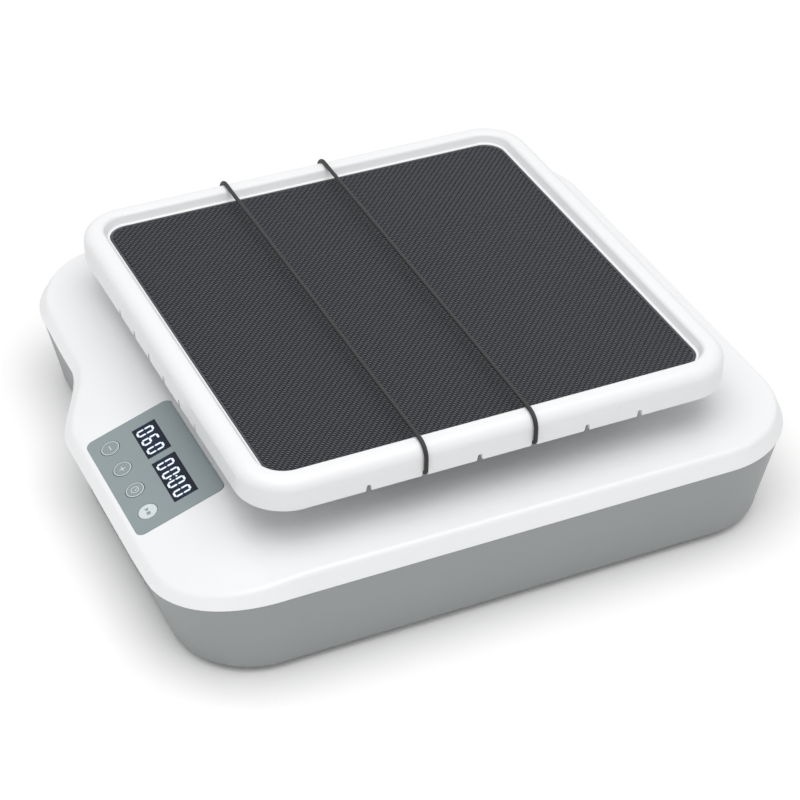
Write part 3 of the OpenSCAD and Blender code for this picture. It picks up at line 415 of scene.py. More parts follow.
def slot_finishes(colours):
    """The finish of each of the record's material slots."""
    listed = {m["slot"]: tuple(m["base_color"][:3]) for m in frame["record"]["materials"]}
    grain_up = (1.0, 1.0, 0.08)
    rubber = soft_rubber(colours.rubber)
    return {
        "cover": white_plastic(colours.cover),
        "base": grey_plastic(colours.base),
        "panel": gloss_overlay(colours.panel),
        "black_rubber": rubber,
        "band_rubber": rubber,
        "steel": metal("zinc_steel", listed["steel"], 0.3, grain_up),
        "bearing_steel": metal("ground_steel", listed["bearing_steel"], 0.16, grain_up, 1600.0),
        "cast_aluminium": metal("cast_aluminium", listed["cast_aluminium"], 0.36),
        "brass": metal("turned_brass", listed["brass"], 0.25, grain_up),
        "magnet": metal("nickel_plate", listed["magnet"], 0.12),
        "black_plastic": black_plastic(listed["black_plastic"]),
        "circuit_board": circuit_board(listed["circuit_board"]),
        "lead_jacket": soft_rubber(shaded(colours.rubber, 1.6)),
    }


# ---- mesh work -----------------------------------------------------------------

def arc(x, y, radius, start, end, steps=ARC_STEPS):
    """Outline entries (x, y, outward x, outward y) along an arc, its angles in degrees."""
    entries = []
    for i in range(steps + 1):
        a = math.radians(start + (end - start) * i / steps)
        entries.append((x + radius * math.cos(a), y + radius * math.sin(a),
                        math.cos(a), math.sin(a)))
    return entries


def rounded(x0, y0, x1, y1, radius, steps=8):
    """Outline entries of a rectangle with round corners."""
    corners = [(x1 - radius, y1 - radius, 0), (x0 + radius, y1 - radius, 90),
               (x0 + radius, y0 + radius, 180), (x1 - radius, y0 + radius, 270)]
    return [e for cx, cy, a in corners for e in arc(cx, cy, radius, a, a + 90, steps)]


def drawn_in(outline, inset, z):
    """A ring of points: the outline moved inwards, at one height."""
    return [(x - inset * nx, y - inset * ny, z) for x, y, nx, ny in outline]


def lofted(rings, capped=True):
    """Mesh through rings of equal count; it is closed by its two end faces, or end to end."""
    count = len(rings[0])
    spans = len(rings) - 1 if capped else len(rings)
    faces = []
    for k in range(spans):
        low, high = k * count, (k + 1) % len(rings) * count
        faces += [(low + i, low + (i + 1) % count, high + (i + 1) % count, high + i)
                  for i in range(count)]
    if capped:
        last = (len(rings) - 1) * count
        faces.append(tuple(reversed(range(count))))
        faces.append(tuple(range(last, last + count)))
    mesh = bpy.data.meshes.new("loft")
    mesh.from_pydata([p for ring in rings for p in ring], [], faces)
    reworked(mesh, lambda work: None)
    return mesh


def reworked(mesh, change):
    """Changes a closed mesh in edit form, and turns its faces outwards."""
    work = bmesh.new()
    work.from_mesh(mesh)
    change(work)
    bmesh.ops.recalc_face_normals(work, faces=work.faces)
    work.to_mesh(mesh)
    work.free()


def turned(x, y, profile, steps=48, capped=True):
    """Solid of revolution about a vertical line, through (radius, height) pairs."""
    ring = arc(x, y, 0.0, 0, 360 - 360 / steps, steps - 1)
    return lofted([[(x + r * nx, y + r * ny, z) for _, _, nx, ny in ring] for r, z in profile],
                  capped)


def prism(points, low, high):
    """Solid with a flat outline, between two heights."""
    return lofted([[(p[0], p[1], z) for p in points] for z in (low, high)])


def joined(meshes, matrix=None):
    """One mesh of several, moved by a matrix."""
    work = bmesh.new()
    for mesh in meshes:
        work.from_mesh(mesh)
    if matrix is not None:
        work.transform(matrix)
    made = bpy.data.meshes.new("joined")
    work.to_mesh(made)
    work.free()
    return made


def combined(mesh, operation, *tools):
    """The mesh with each tool's shape added to it or cut out of it in turn."""
    for tool in tools:
        base = bpy.data.objects.new("work", mesh)
        other = bpy.data.objects.new("tool", tool)
        for thing in (base, other):
            bpy.context.scene.collection.objects.link(thing)
        step = base.modifiers.new("step", "BOOLEAN")
        step.operation = operation
        step.solver = "EXACT"
        step.object = other
        mesh = bpy.data.meshes.new_from_object(
            base.evaluated_get(bpy.context.evaluated_depsgraph_get()))
        for thing in (base, other):
            bpy.data.objects.remove(thing)
        if not mesh.polygons:
            raise RuntimeError("a cut left nothing of the mesh")
    return mesh


def sliced(mesh, cuts, height):
    """Cuts the mesh along each plane (point, normal), then sets every point's height."""
    def change(work):
        for spot, normal in cuts:
            everything = work.verts[:] + work.edges[:] + work.faces[:]
            bmesh.ops.bisect_plane(work, geom=everything, dist=1e-7, plane_co=spot,
                                   plane_no=normal)
        for vertex in work.verts:
            vertex.co.z = height(vertex.co)

    reworked(mesh, change)
    return mesh


def curve_between(start, corner, end, steps=ROUND_STEPS):
    """Points of a rounded corner, from just after its start to its end."""
    points = []
    for i in range(1, steps + 1):
        t = i / steps
        points.append(tuple((1 - t) ** 2 * a + 2 * t * (1 - t) * b + t * t * c
                            for a, b, c in zip(start, corner, end)))
    return points


def spots(node, reach):
    """The middles of a node's separate solids that stand further apart than reach."""
    groups = []
    for vertex in frame["nodes"][node].data.vertices:
        for group in groups:
            if (group[0].xy - vertex.co.xy).length < reach:
                group.append(vertex.co)
                break
        else:
            groups.append([vertex.co])
    return [tuple((min(p[k] for p in group) + max(p[k] for p in group)) / 2 for k in (0, 1))
            for group in groups]


def joint_spot(name):
    """Where a joint's axis stands."""
    for joint in frame["joints"]:
        if joint["name"] == name:
            return Vector(joint["pos_m"])
    raise RuntimeError("the frame has no joint named " + name)


def finished(name, mesh, material, body, slot, sharp, *stands_for):
    """Shows a mesh as a piece of the object that moves with a body."""
    old = bpy.data.objects.get(name)
    if old is not None:
        bpy.data.objects.remove(old)
    mesh.name = name
    mesh.materials.append(material)
    mesh.polygons.foreach_set("use_smooth", [True] * len(mesh.polygons))
    mesh.set_sharp_from_angle(angle=math.radians(sharp))
    thing = bpy.data.objects.new(name, mesh)
    bpy.context.scene.collection.objects.link(thing)
    thing.modifiers.new("normals", "WEIGHTED_NORMAL").keep_sharp = True
    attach(thing, body)
    if stands_for:
        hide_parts(*stands_for)


def painted(node, material):
    """Gives a CAD node one material."""
    mesh = frame["nodes"][node].data
    mesh.materials.clear()
    mesh.materials.append(material)


# ---- housing -------------------------------------------------------------------

def eased(t):
    """Smooth step from 0 to 1."""
    return t * t * (3 - 2 * t)


class Housing:
    """Plan and heights of the housing, from its sizes and the frame."""

    crease = 4 * MM        # half the width of the bend where the slope begins
    dip = 7 * MM           # the same for the seam
    seam_later = 18 * MM   # how much further forward the seam bends
    soften = 24 * MM       # how much wider both bends grow towards the sides
    later = 11 * MM        # how much further forward both then start
    calm = 96 * MM         # from here outwards they change
    reach = 60 * MM        # and over this width
    chin_kept = 0.92       # share of the chin left at the base's underside

    def __init__(self, sizes):
        low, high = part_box("top_cover")
        self.sizes = sizes
        self.half = high.x
        self.rear = high.y
        self.front = low.y + sizes.chin_out
        self.slope_y = low.y + sizes.slope_run
        self.dip_y = self.slope_y - self.seam_later
        self.fall = math.tan(sizes.slope_tilt)

    def outline(self, out):
        """Outline entries with the chin standing out this far."""
        s = self.sizes
        swell = []
        for i in range(1, SWELL_STEPS):
            t = i / SWELL_STEPS
            lean = 6 * t * (1 - t) * out / s.chin_blend
            unit = math.hypot(lean, 1)
            swell.append((s.chin_blend * (t - 0.5) - s.chin_left,
                          self.front - out * eased(t), -lean / unit, -1 / unit))
        rear, left, chin = s.rear_corner, s.left_corner, s.chin_corner
        return (arc(self.half - rear, self.rear - rear, rear, 0, 90)
                + arc(rear - self.half, self.rear - rear, rear, 90, 180)
                + arc(left - self.half, self.front + left, left, 180, 270)
                + swell
                + arc(self.half - chin, self.front - out + chin, chin, 270, 360))

    def drop(self, x, y, start, bend):
        """How far the surface has fallen, with a soft bend where the fall starts."""
        out = eased(max(0.0, min(1.0, (abs(x) - self.calm) / self.reach)))
        run = start - self.later * out - y
        bend += self.soften * out
        if run >= bend:
            return run * self.fall
        return self.fall * max(0.0, run + bend) ** 2 / (4 * bend)

    def cover_z(self, x, y):
        """Height of the cover's outer face."""
        return self.sizes.top - self.drop(x, y, self.slope_y, self.crease)

    def seam_z(self, x, y):
        """Height of the parting line."""
        return self.sizes.seam - self.drop(x, y, self.dip_y, self.dip)

    def cuts(self):
        """Planes (point, normal) that the shells are cut along so that they can bend."""
        found = []
        for start, bend in ((self.slope_y, self.crease), (self.dip_y, self.dip)):
            found += [start + bend * k / 4 for k in range(-4, 5)]
            far, near = start - self.later - bend - self.soften, start + self.soften
            found += [far + (start - bend - far) * k / 8 for k in range(8)]
            found += [start + bend + (near - start - bend) * k / 5 for k in range(1, 6)]
        across = [side * (self.calm + self.reach * k / 6) for side in (-1, 1) for k in range(7)]
        return ([((0, y, 0), (0, 1, 0)) for y in found]
                + [((x, 0, 0), (1, 0, 0)) for x in across])

    def slope(self):
        """Places on the sloped front: origin at the panel's front left corner, Z out of it."""
        tilt = self.sizes.slope_tilt
        proud, sunk = 0.2 * MM, 1.0 * MM
        low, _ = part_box("control_panel")
        origin = Vector((low.x, low.y + proud * math.sin(tilt), low.z + sunk * math.cos(tilt)))
        return Matrix.Translation(origin) @ Matrix.Rotation(tilt, 4, "X")


# Shells are lofted with their height as a share, and bent afterwards. A share
# runs 0..1 up the outer face; the cover's inner one runs -1..-2, the base's 3..2.

def cover_shell(housing):
    """The cover's closed shell, without its openings."""
    s = housing.sizes
    rise, lean = 0.8, s.band_in             # top of the flat edge band, as a share
    past = lean / rise                      # where the band's line would meet the top
    outer = [(0.35 * MM, 0.0), (0.08 * MM, 0.012), (0.0, 0.04), (lean * 0.5, 0.42),
             (lean * 0.93, 0.77), (lean, rise)]
    outer += curve_between((lean, rise), (past, 1.0), (s.edge_in, 1.0))
    inner = [(s.wall + 8 * MM, 1.0), (s.wall + 4 * MM, 0.93), (s.wall + 1.5 * MM, 0.7),
             (s.wall, 0.0)]
    plan = housing.outline(s.chin_out)
    rings = [drawn_in(plan, inset, -1 - share) for inset, share in inner]
    rings += [drawn_in(plan, inset, share) for inset, share in outer]

    def height(p):
        seam = housing.seam_z(p.x, p.y)
        face = housing.cover_z(p.x, p.y)
        if p.z > -1:
            return seam + (face - seam) * max(p.z, 0.0)
        return seam + (face - s.wall - seam) * (-1 - p.z)

    return sliced(lofted(rings), housing.cuts(), height)


def base_shell(housing):
    """The base's closed shell, without its openings."""
    s = housing.sizes
    low = s.base_round / (s.seam - s.foot_gap)
    squash = 0.6                            # the underside's rounding is flatter than round

    def inset_at(share):
        return s.base_draw * (1 - share) + s.base_step

    rows = [(inset_at(low) + squash * s.base_round * (1 - math.sin(a)), low * (1 - math.cos(a)))
            for a in (math.radians(15 * k) for k in range(7))]
    rows += [(inset_at(k / 6), k / 6) for k in range(1, 6)]
    rows += [(s.base_step, 0.985), (s.base_step + 0.2 * MM, 0.996), (s.base_step + 0.7 * MM, 1.0)]
    outer, inner = [], []
    for inset, share in rows:
        plan = housing.outline(
            s.chin_out * (housing.chin_kept + (1 - housing.chin_kept) * share))
        outer.append(drawn_in(plan, inset, share))
        inner.append(drawn_in(plan, inset + s.wall, 3 - share))

    def height(p):
        top = housing.seam_z(p.x, p.y) - s.seam_gap
        if p.z <= 2:
            return s.foot_gap + (top - s.foot_gap) * min(p.z, 1.0)
        floor = s.foot_gap + s.wall
        return floor + (top - floor) * (3 - p.z)

    return sliced(lofted(outer + inner[::-1]), housing.cuts(), height)


# ---- operators -----------------------------------------------------------------

class SHAKER_OT_stage(Operator):
    """Lay the pale floor and set up the lamps, surroundings and camera"""
    bl_idname = "shaker.stage"
    bl_label = "Stage"

    def execute(self, context):
        stage = context.scene.shaker_stage
        self.floor(context.scene)
        self.surroundings(context.scene, stage)
        self.lamp(context.scene, stage)
        self.camera(context.scene, stage)
        context.scene.view_settings.view_transform = "Standard"
        return {"FINISHED"}

    def floor(self, scene):
        half, plain, fade = 14.0, 0.45, 1.3      # the floor whitens beyond this distance
        mesh = bpy.data.meshes.new("floor")
        mesh.from_pydata([(x * half, y * half, 0) for x, y in
                          ((-1, -1), (1, -1), (1, 1), (-1, 1))], [], [(0, 1, 2, 3)])
        f = Finish("floor_paper")
        seen = f.rays("Is Camera Ray")
        paper = f.mix(f.noise(3.0), (0.9, 0.9, 0.9), (0.91, 0.91, 0.91))
        distance = f.node("ShaderNodeVectorMath", {"operation": "LENGTH"}, {0: f.place}, 1)
        far = ((distance - plain) / fade).within(0.0, 1.0)
        f.set(Base_Color=f.mix(seen, paper, (1.0, 1.0, 0.995)), Roughness=0.9,
              Specular_IOR_Level=0.0, Emission_Color=(0.03 + 0.5 * far) * seen,
              Emission_Strength=1.0)
        mesh.materials.append(f.material)
        floor = bpy.data.objects.new("floor", mesh)
        scene.collection.objects.link(floor)

    def surroundings(self, scene, stage):
        scene.world = bpy.data.worlds.new("white_room")
        nodes = Nodes(scene.world)
        seen = nodes.rays("Is Camera Ray", "Is Glossy Ray", "Is Transmission Ray")
        back = nodes.tree.nodes["Background"].inputs
        nodes.fill(back["Color"], (1.0, 1.0, 1.0, 1.0))
        nodes.fill(back["Strength"], stage.surround + (1 - stage.surround) * seen)

    def lamp(self, scene, stage):
        light = bpy.data.lights.new("overhead", "AREA")
        light.shape = "SQUARE"
        light.size = stage.lamp_size
        light.energy = stage.lamp
        lamp = bpy.data.objects.new("overhead", light)
        lamp.location = (stage.lamp_near * math.sin(stage.azimuth),
                         -stage.lamp_near * math.cos(stage.azimuth), stage.lamp_height)
        lamp.rotation_mode = "QUATERNION"
        lamp.rotation_quaternion = (-lamp.location).to_track_quat("-Z", "Y")
        lamp.visible_camera = False
        scene.collection.objects.link(lamp)

    def camera(self, scene, stage):
        data = bpy.data.cameras.new("camera")
        data.lens = stage.lens
        data.sensor_width = 36.0
        camera = bpy.data.objects.new("camera", data)
        camera.matrix_world = (Matrix.Translation(stage.camera_place)
                               @ Matrix.Rotation(stage.azimuth, 4, "Z")
                               @ Matrix.Rotation(math.pi / 2 - stage.elevation, 4, "X")
                               @ Matrix.Rotation(stage.roll, 4, "Z"))
        scene.collection.objects.link(camera)
        scene.camera = camera


class SHAKER_OT_finishes(Operator):
    """Give every CAD node the finish of its material slot"""
    bl_idname = "shaker.finishes"
    bl_label = "Finishes"

    def execute(self, context):
        finishes = slot_finishes(context.scene.shaker_colours)
        for part in frame["record"]["subparts"]:
            if part["material_slot"] in finishes:
                painted(part["node"], finishes[part["material_slot"]])
        return {"FINISHED"}


class SHAKER_OT_cover(Operator):
    """Mould the white cover with its shaft collars and the panel's seat"""
    bl_idname = "shaker.cover"
    bl_label = "Cover"

    def execute(self, context):
        housing = Housing(context.scene.shaker_housing)
        top = housing.sizes.top
        rim = top + housing.sizes.collar_rise
        rooted, edge, deep = 2 * MM, 0.5 * MM, 9 * MM
        collars, holes = [], []
        for spot, bore, outer in self.shafts():
            collars.append(turned(spot.x, spot.y, [
                (outer, top - rooted), (outer, rim - edge),
                (outer - 0.3 * edge, rim - 0.3 * edge), (outer - edge, rim)]))
            holes.append(turned(spot.x, spot.y, [(bore, top - deep), (bore, top + deep)]))
        mesh = combined(cover_shell(housing), "UNION", joined(collars))
        mesh = combined(mesh, "DIFFERENCE", joined(holes), *self.panel_seat(housing))
        finished("cover_skin", mesh, bpy.data.materials["white_plastic"], "housing", "cover",
                 32.0, "top_cover")
        return {"FINISHED"}

    def shafts(self):
        """Each shaft's place, and the radii of its hole and its collar."""
        yield joint_spot("crank_spin"), 11.5 * MM, 17.5 * MM
        for i in range(1, 5):
            yield joint_spot("follower_%d_spin" % i), 8.5 * MM, 13.5 * MM

    def panel_seat(self, housing):
        """The seat of the overlay, and the window behind it."""
        low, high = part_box("control_panel")
        wide = high.x - low.x
        tall = (high.y - low.y) / math.cos(housing.sizes.slope_tilt)
        gap, corner, sunk, deep = 0.08 * MM, 5 * MM, 1.0 * MM, 9 * MM
        side, front, behind = 6 * MM, 5 * MM, 9 * MM
        seat = prism(rounded(-gap, -gap, wide + gap, tall + gap, corner), -sunk, deep)
        window = prism(rounded(side, front, wide - side, tall - behind, 1 * MM), -deep, 5 * MM)
        return [joined([mesh], housing.slope()) for mesh in (seat, window)]


class SHAKER_OT_base(Operator):
    """Mould the grey base with its screw bosses and the connectors' recess"""
    bl_idname = "shaker.base"
    bl_label = "Base"

    recess_x = (-68 * MM, 8 * MM)
    recess_z = (17 * MM, 47 * MM)
    recess_deep = 100 * MM          # well past the rear wall
    connector_z = 32 * MM
    inlet_x, inlet_radius = -50 * MM, 5.55 * MM
    switch_x, switch_half, switch_tall = -18 * MM, 9.75 * MM, 6.55 * MM
    cut_reach = 6 * MM              # each way through the recess's face
    apart = 8 * MM                  # screws stand further apart than this
    screw_top, foot_top, plate_top = 50 * MM, 14 * MM, 16 * MM     # of the bosses
    head_end, screw_end, foot_end = 40 * MM, 52 * MM, 13 * MM       # of the bores

    def execute(self, context):
        housing = Housing(context.scene.shaker_housing)
        s = housing.sizes
        hole, head = s.screw_hole, s.head_hole
        rooted = s.foot_gap + s.wall - 1 * MM
        screws, feet, plate = (spots(n, self.apart) for n in
                               ("cover_screws", "foot_screws", "chassis_screws"))
        bosses = [self.post(p, (radius, rooted), (radius, top))
                  for places, radius, top in ((screws, s.boss, self.screw_top),
                                              (feet, s.boss, self.foot_top),
                                              (plate, s.plate_boss, self.plate_top))
                  for p in places]
        bores = [self.post(p, (head, 0.0), (head, self.head_end), (hole, self.head_end),
                           (hole, self.screw_end)) for p in screws]
        bores += [self.post(p, (hole, 0.0), (hole, self.foot_end)) for p in feet]
        face = joint_spot("rocker_tilt").y
        mesh = combined(base_shell(housing), "UNION", joined(bosses),
                        self.recess_block(housing, face))
        mesh = combined(mesh, "DIFFERENCE", self.recess(face), joined(bores),
                        *self.connector_holes(face))
        finished("base_skin", mesh, bpy.data.materials["grey_plastic"], "housing", "base",
                 32.0, "base_tub")
        return {"FINISHED"}

    def post(self, spot, *profile):
        return turned(*spot, profile, 32)

    def recess_block(self, housing, face):
        """Solid that closes the recess in, out to the middle of the rear wall."""
        s = housing.sizes
        (left, right), (low, high) = self.recess_x, self.recess_z
        side = [(face - s.wall, low - s.wall)]
        for z in (low - s.wall, high + s.wall):
            share = (z - s.foot_gap) / (s.seam - s.foot_gap)
            side.append((housing.rear - s.base_draw * (1 - share) - s.base_step - s.wall / 2, z))
        side.append((face - s.wall, high + s.wall))
        return lofted([[(x, y, z) for y, z in side] for x in (left - s.wall, right + s.wall)])

    def recess(self, face):
        (left, right), (low, high) = self.recess_x, self.recess_z
        corner = 3 * MM
        return self.upright(rounded(left, low, right, high, corner), face,
                            face + self.recess_deep)

    def upright(self, flat, front, back):
        """Solid whose outline lies in X and Z."""
        return lofted([[(p[0], y, p[1]) for p in flat] for y in (front, back)])

    def connector_holes(self, face):
        z, turns = self.connector_z, 40
        x, half, tall = self.switch_x, self.switch_half, self.switch_tall
        for flat in (arc(self.inlet_x, z, self.inlet_radius, 0, 360 - 360 / turns, turns - 1),
                     rounded(x - half, z - tall, x + half, z + tall, 0.5 * MM)):
            yield self.upright(flat, face - self.cut_reach, face + self.cut_reach)


class SHAKER_OT_tray(Operator):
    """Mould the white tray with its rim and the band notches"""
    bl_idname = "shaker.tray"
    bl_label = "Tray"

    def execute(self, context):
        t = context.scene.shaker_tray
        low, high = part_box("tray")
        middle, half = (low.y + high.y) / 2, high.x
        plan = rounded(-half, middle - half, half, middle + half, t.corner, 20)
        section = self.profile(t, low.z, high.z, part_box("tray_mat")[0].z)
        mesh = combined(lofted([drawn_in(plan, inset, z) for inset, z in section]),
                        "DIFFERENCE", *self.notches(t, half, middle, low.z))
        finished("tray_shell", mesh, bpy.data.materials["white_plastic"], "platform", "cover",
                 30.0, "tray")
        return {"FINISHED"}

    def profile(self, t, low, rim, deck_top):
        """Section from the deck's underside round the skirt and rim to the deck's top."""
        r = t.shoulder
        mat_top = rim - t.rim_rise
        points = [(t.wall, deck_top - t.deck), (t.wall - 0.2 * MM, low + 1 * MM),
                  (t.wall - 0.6 * MM, low + 0.15 * MM), (t.wall - 1.1 * MM, low),
                  (1.0 * MM, low), (0.3 * MM, low + 0.2 * MM), (0.06 * MM, low + 0.7 * MM)]
        for k in range(9):
            a = math.radians(90 * k / 8)
            points.append((r * (1 - math.cos(a)), rim - r * (1 - math.sin(a))))
        # crest, inner slope and the narrow lip beside the mat
        crest = t.rim - 6.6 * MM
        foot = (t.rim - 1.6 * MM, mat_top + 0.9 * MM)
        points += curve_between((crest, rim), (crest + 2.2 * MM, rim),
                                (crest + 3.4 * MM, rim - 2.0 * MM))
        points += [foot]
        points += curve_between(foot, (t.rim - 1.2 * MM, mat_top + 0.35 * MM),
                                (t.rim - 0.4 * MM, mat_top + 0.3 * MM), 3)
        return points + [(t.rim, mat_top + 0.1 * MM), (t.rim, deck_top)]

    def notches(self, t, half, middle, low):
        """Cutters for the notches: those of the left and right sides, then the others."""
        flare, neck = 0.7 * MM, 0.8 * t.notch_height
        wide, tall = t.notch_width / 2, t.notch_height
        section = [(-wide, low - 1 * MM), (wide, low - 1 * MM), (wide - flare, low + neck),
                   (wide - 1.6 * flare, low + tall), (1.6 * flare - wide, low + tall),
                   (flare - wide, low + neck)]
        reach = half + 5 * MM
        for pitch, place in ((t.side_pitch, lambda along, over, z: (over, middle + along, z)),
                             (t.front_pitch, lambda along, over, z: (along, middle + over, z))):
            yield joined([lofted([[place((k - 2.5) * pitch + u, over, z) for u, z in section]
                                  for over in (-reach, reach)]) for k in range(6)])


class SHAKER_OT_mat(Operator):
    """Press the rubber mat with its rows of small raised pads"""
    bl_idname = "shaker.mat"
    bl_label = "Mat"

    pad_long, pad_wide = 0.82, 0.68     # shares of the pads' pitch and step
    pad_taper = 0.72                    # a pad's top, as a share of its foot
    sunk = 0.05 * MM                    # the pads start inside the sheet

    def execute(self, context):
        t = context.scene.shaker_tray
        low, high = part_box("tray_mat")
        middle = (low.y + high.y) / 2
        half = high.x - 0.1 * MM
        sheet_z, border_z = high.z - t.pad_height, high.z - 0.05 * MM
        plan = rounded(-half, middle - half, half, middle + half, t.mat_corner, 16)
        sheet = lofted([drawn_in(plan, inset, z) for inset, z in (
            (0.0, low.z), (0.0, high.z - 0.5 * MM), (0.15 * MM, high.z - 0.15 * MM),
            (0.5 * MM, border_z), (t.mat_border - 0.3 * MM, border_z),
            (t.mat_border, sheet_z))])
        pads = self.pads(t, half - t.mat_border, middle, sheet_z, high.z)
        finish = mat_rubber(context.scene.shaker_colours.mat, sheet_z, high.z)
        finished("mat_relief", joined([sheet, pads]), finish, "platform", "mat_rubber",
                 50.0, "tray_mat")
        return {"FINISHED"}

    def pads(self, t, limit, middle, low, high):
        """Small oblong pads in diagonal rows, cut off at the relief's edge."""
        corner = t.mat_corner - t.mat_border
        along = Vector((1, 1)).normalized()
        across = Vector((-1, 1)).normalized()
        half_long = along * (self.pad_long * t.pad_pitch / 2)
        half_wide = across * (self.pad_wide * t.pad_step / 2)
        levels = ((1.0, low - self.sunk), (1.0, (low + high) / 2), (self.pad_taper, high))
        diagonal = limit * 1.5
        rows, steps = int(diagonal / t.pad_pitch), int(diagonal / t.pad_step)
        points, faces = [], []
        for i in range(-rows, rows + 1):
            for k in range(-steps, steps + 1):
                shift = 0.5 * (i % 2)
                centre = along * (i * t.pad_pitch) + across * ((k + shift) * t.pad_step)
                past = Vector([max(0.0, abs(c) - limit + corner) for c in centre])
                if past.length > corner:
                    continue
                n = len(points)
                for scale, z in levels:
                    for u, v in ((-1, -1), (1, -1), (1, 1), (-1, 1)):
                        x, y = (max(-limit, min(limit, c)) for c in
                                centre + scale * (u * half_long + v * half_wide))
                        points.append((x, y + middle, z))
                faces += [(n + ring + j, n + ring + (j + 1) % 4,
                           n + ring + 4 + (j + 1) % 4, n + ring + 4 + j)
                          for ring in (0, 4) for j in range(4)]
                faces.append((n + 8, n + 9, n + 10, n + 11))
                faces.append((n + 3, n + 2, n + 1, n))
        mesh = bpy.data.meshes.new("pads")
        mesh.from_pydata(points, [], faces)
        return mesh


class SHAKER_OT_bands(Operator):
    """Stretch the two rubber bands across the rim and under the deck"""
    bl_idname = "shaker.bands"
    bl_label = "Bands"

    bend_steps, tube_steps = 12, 16
    tuck = 3 * MM                       # bend where a band turns under the skirt

    def execute(self, context):
        t = context.scene.shaker_tray
        for name in ("front_band", "rear_band"):
            finished(name + "_cord", self.loop(t, *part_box(name)),
                     bpy.data.materials["soft_rubber"], "platform", "band_rubber", 60.0, name)
        return {"FINISHED"}

    def loop(self, t, low, high):
        """Closed tube through a flat loop with wide bends over the tray's shoulders."""
        radius, y = (high.y - low.y) / 2, (low.y + high.y) / 2
        side, top, bottom = high.x - radius, high.z - radius, low.z + radius
        shoulder, tuck = t.shoulder + radius, self.tuck
        rings = []
        for cx, cz, r, start in ((side - shoulder, top - shoulder, shoulder, 0),
                                 (shoulder - side, top - shoulder, shoulder, 90),
                                 (tuck - side, bottom + tuck, tuck, 180),
                                 (side - tuck, bottom + tuck, tuck, 270)):
            for x, z, nx, nz in arc(cx, cz, r, start, start + 90, self.bend_steps):
                turns = [math.tau * k / self.tube_steps for k in range(self.tube_steps)]
                rings.append([(x + radius * math.cos(a) * nx, y + radius * math.sin(a),
                               z + radius * math.cos(a) * nz) for a in turns])
        return lofted(rings, capped=False)


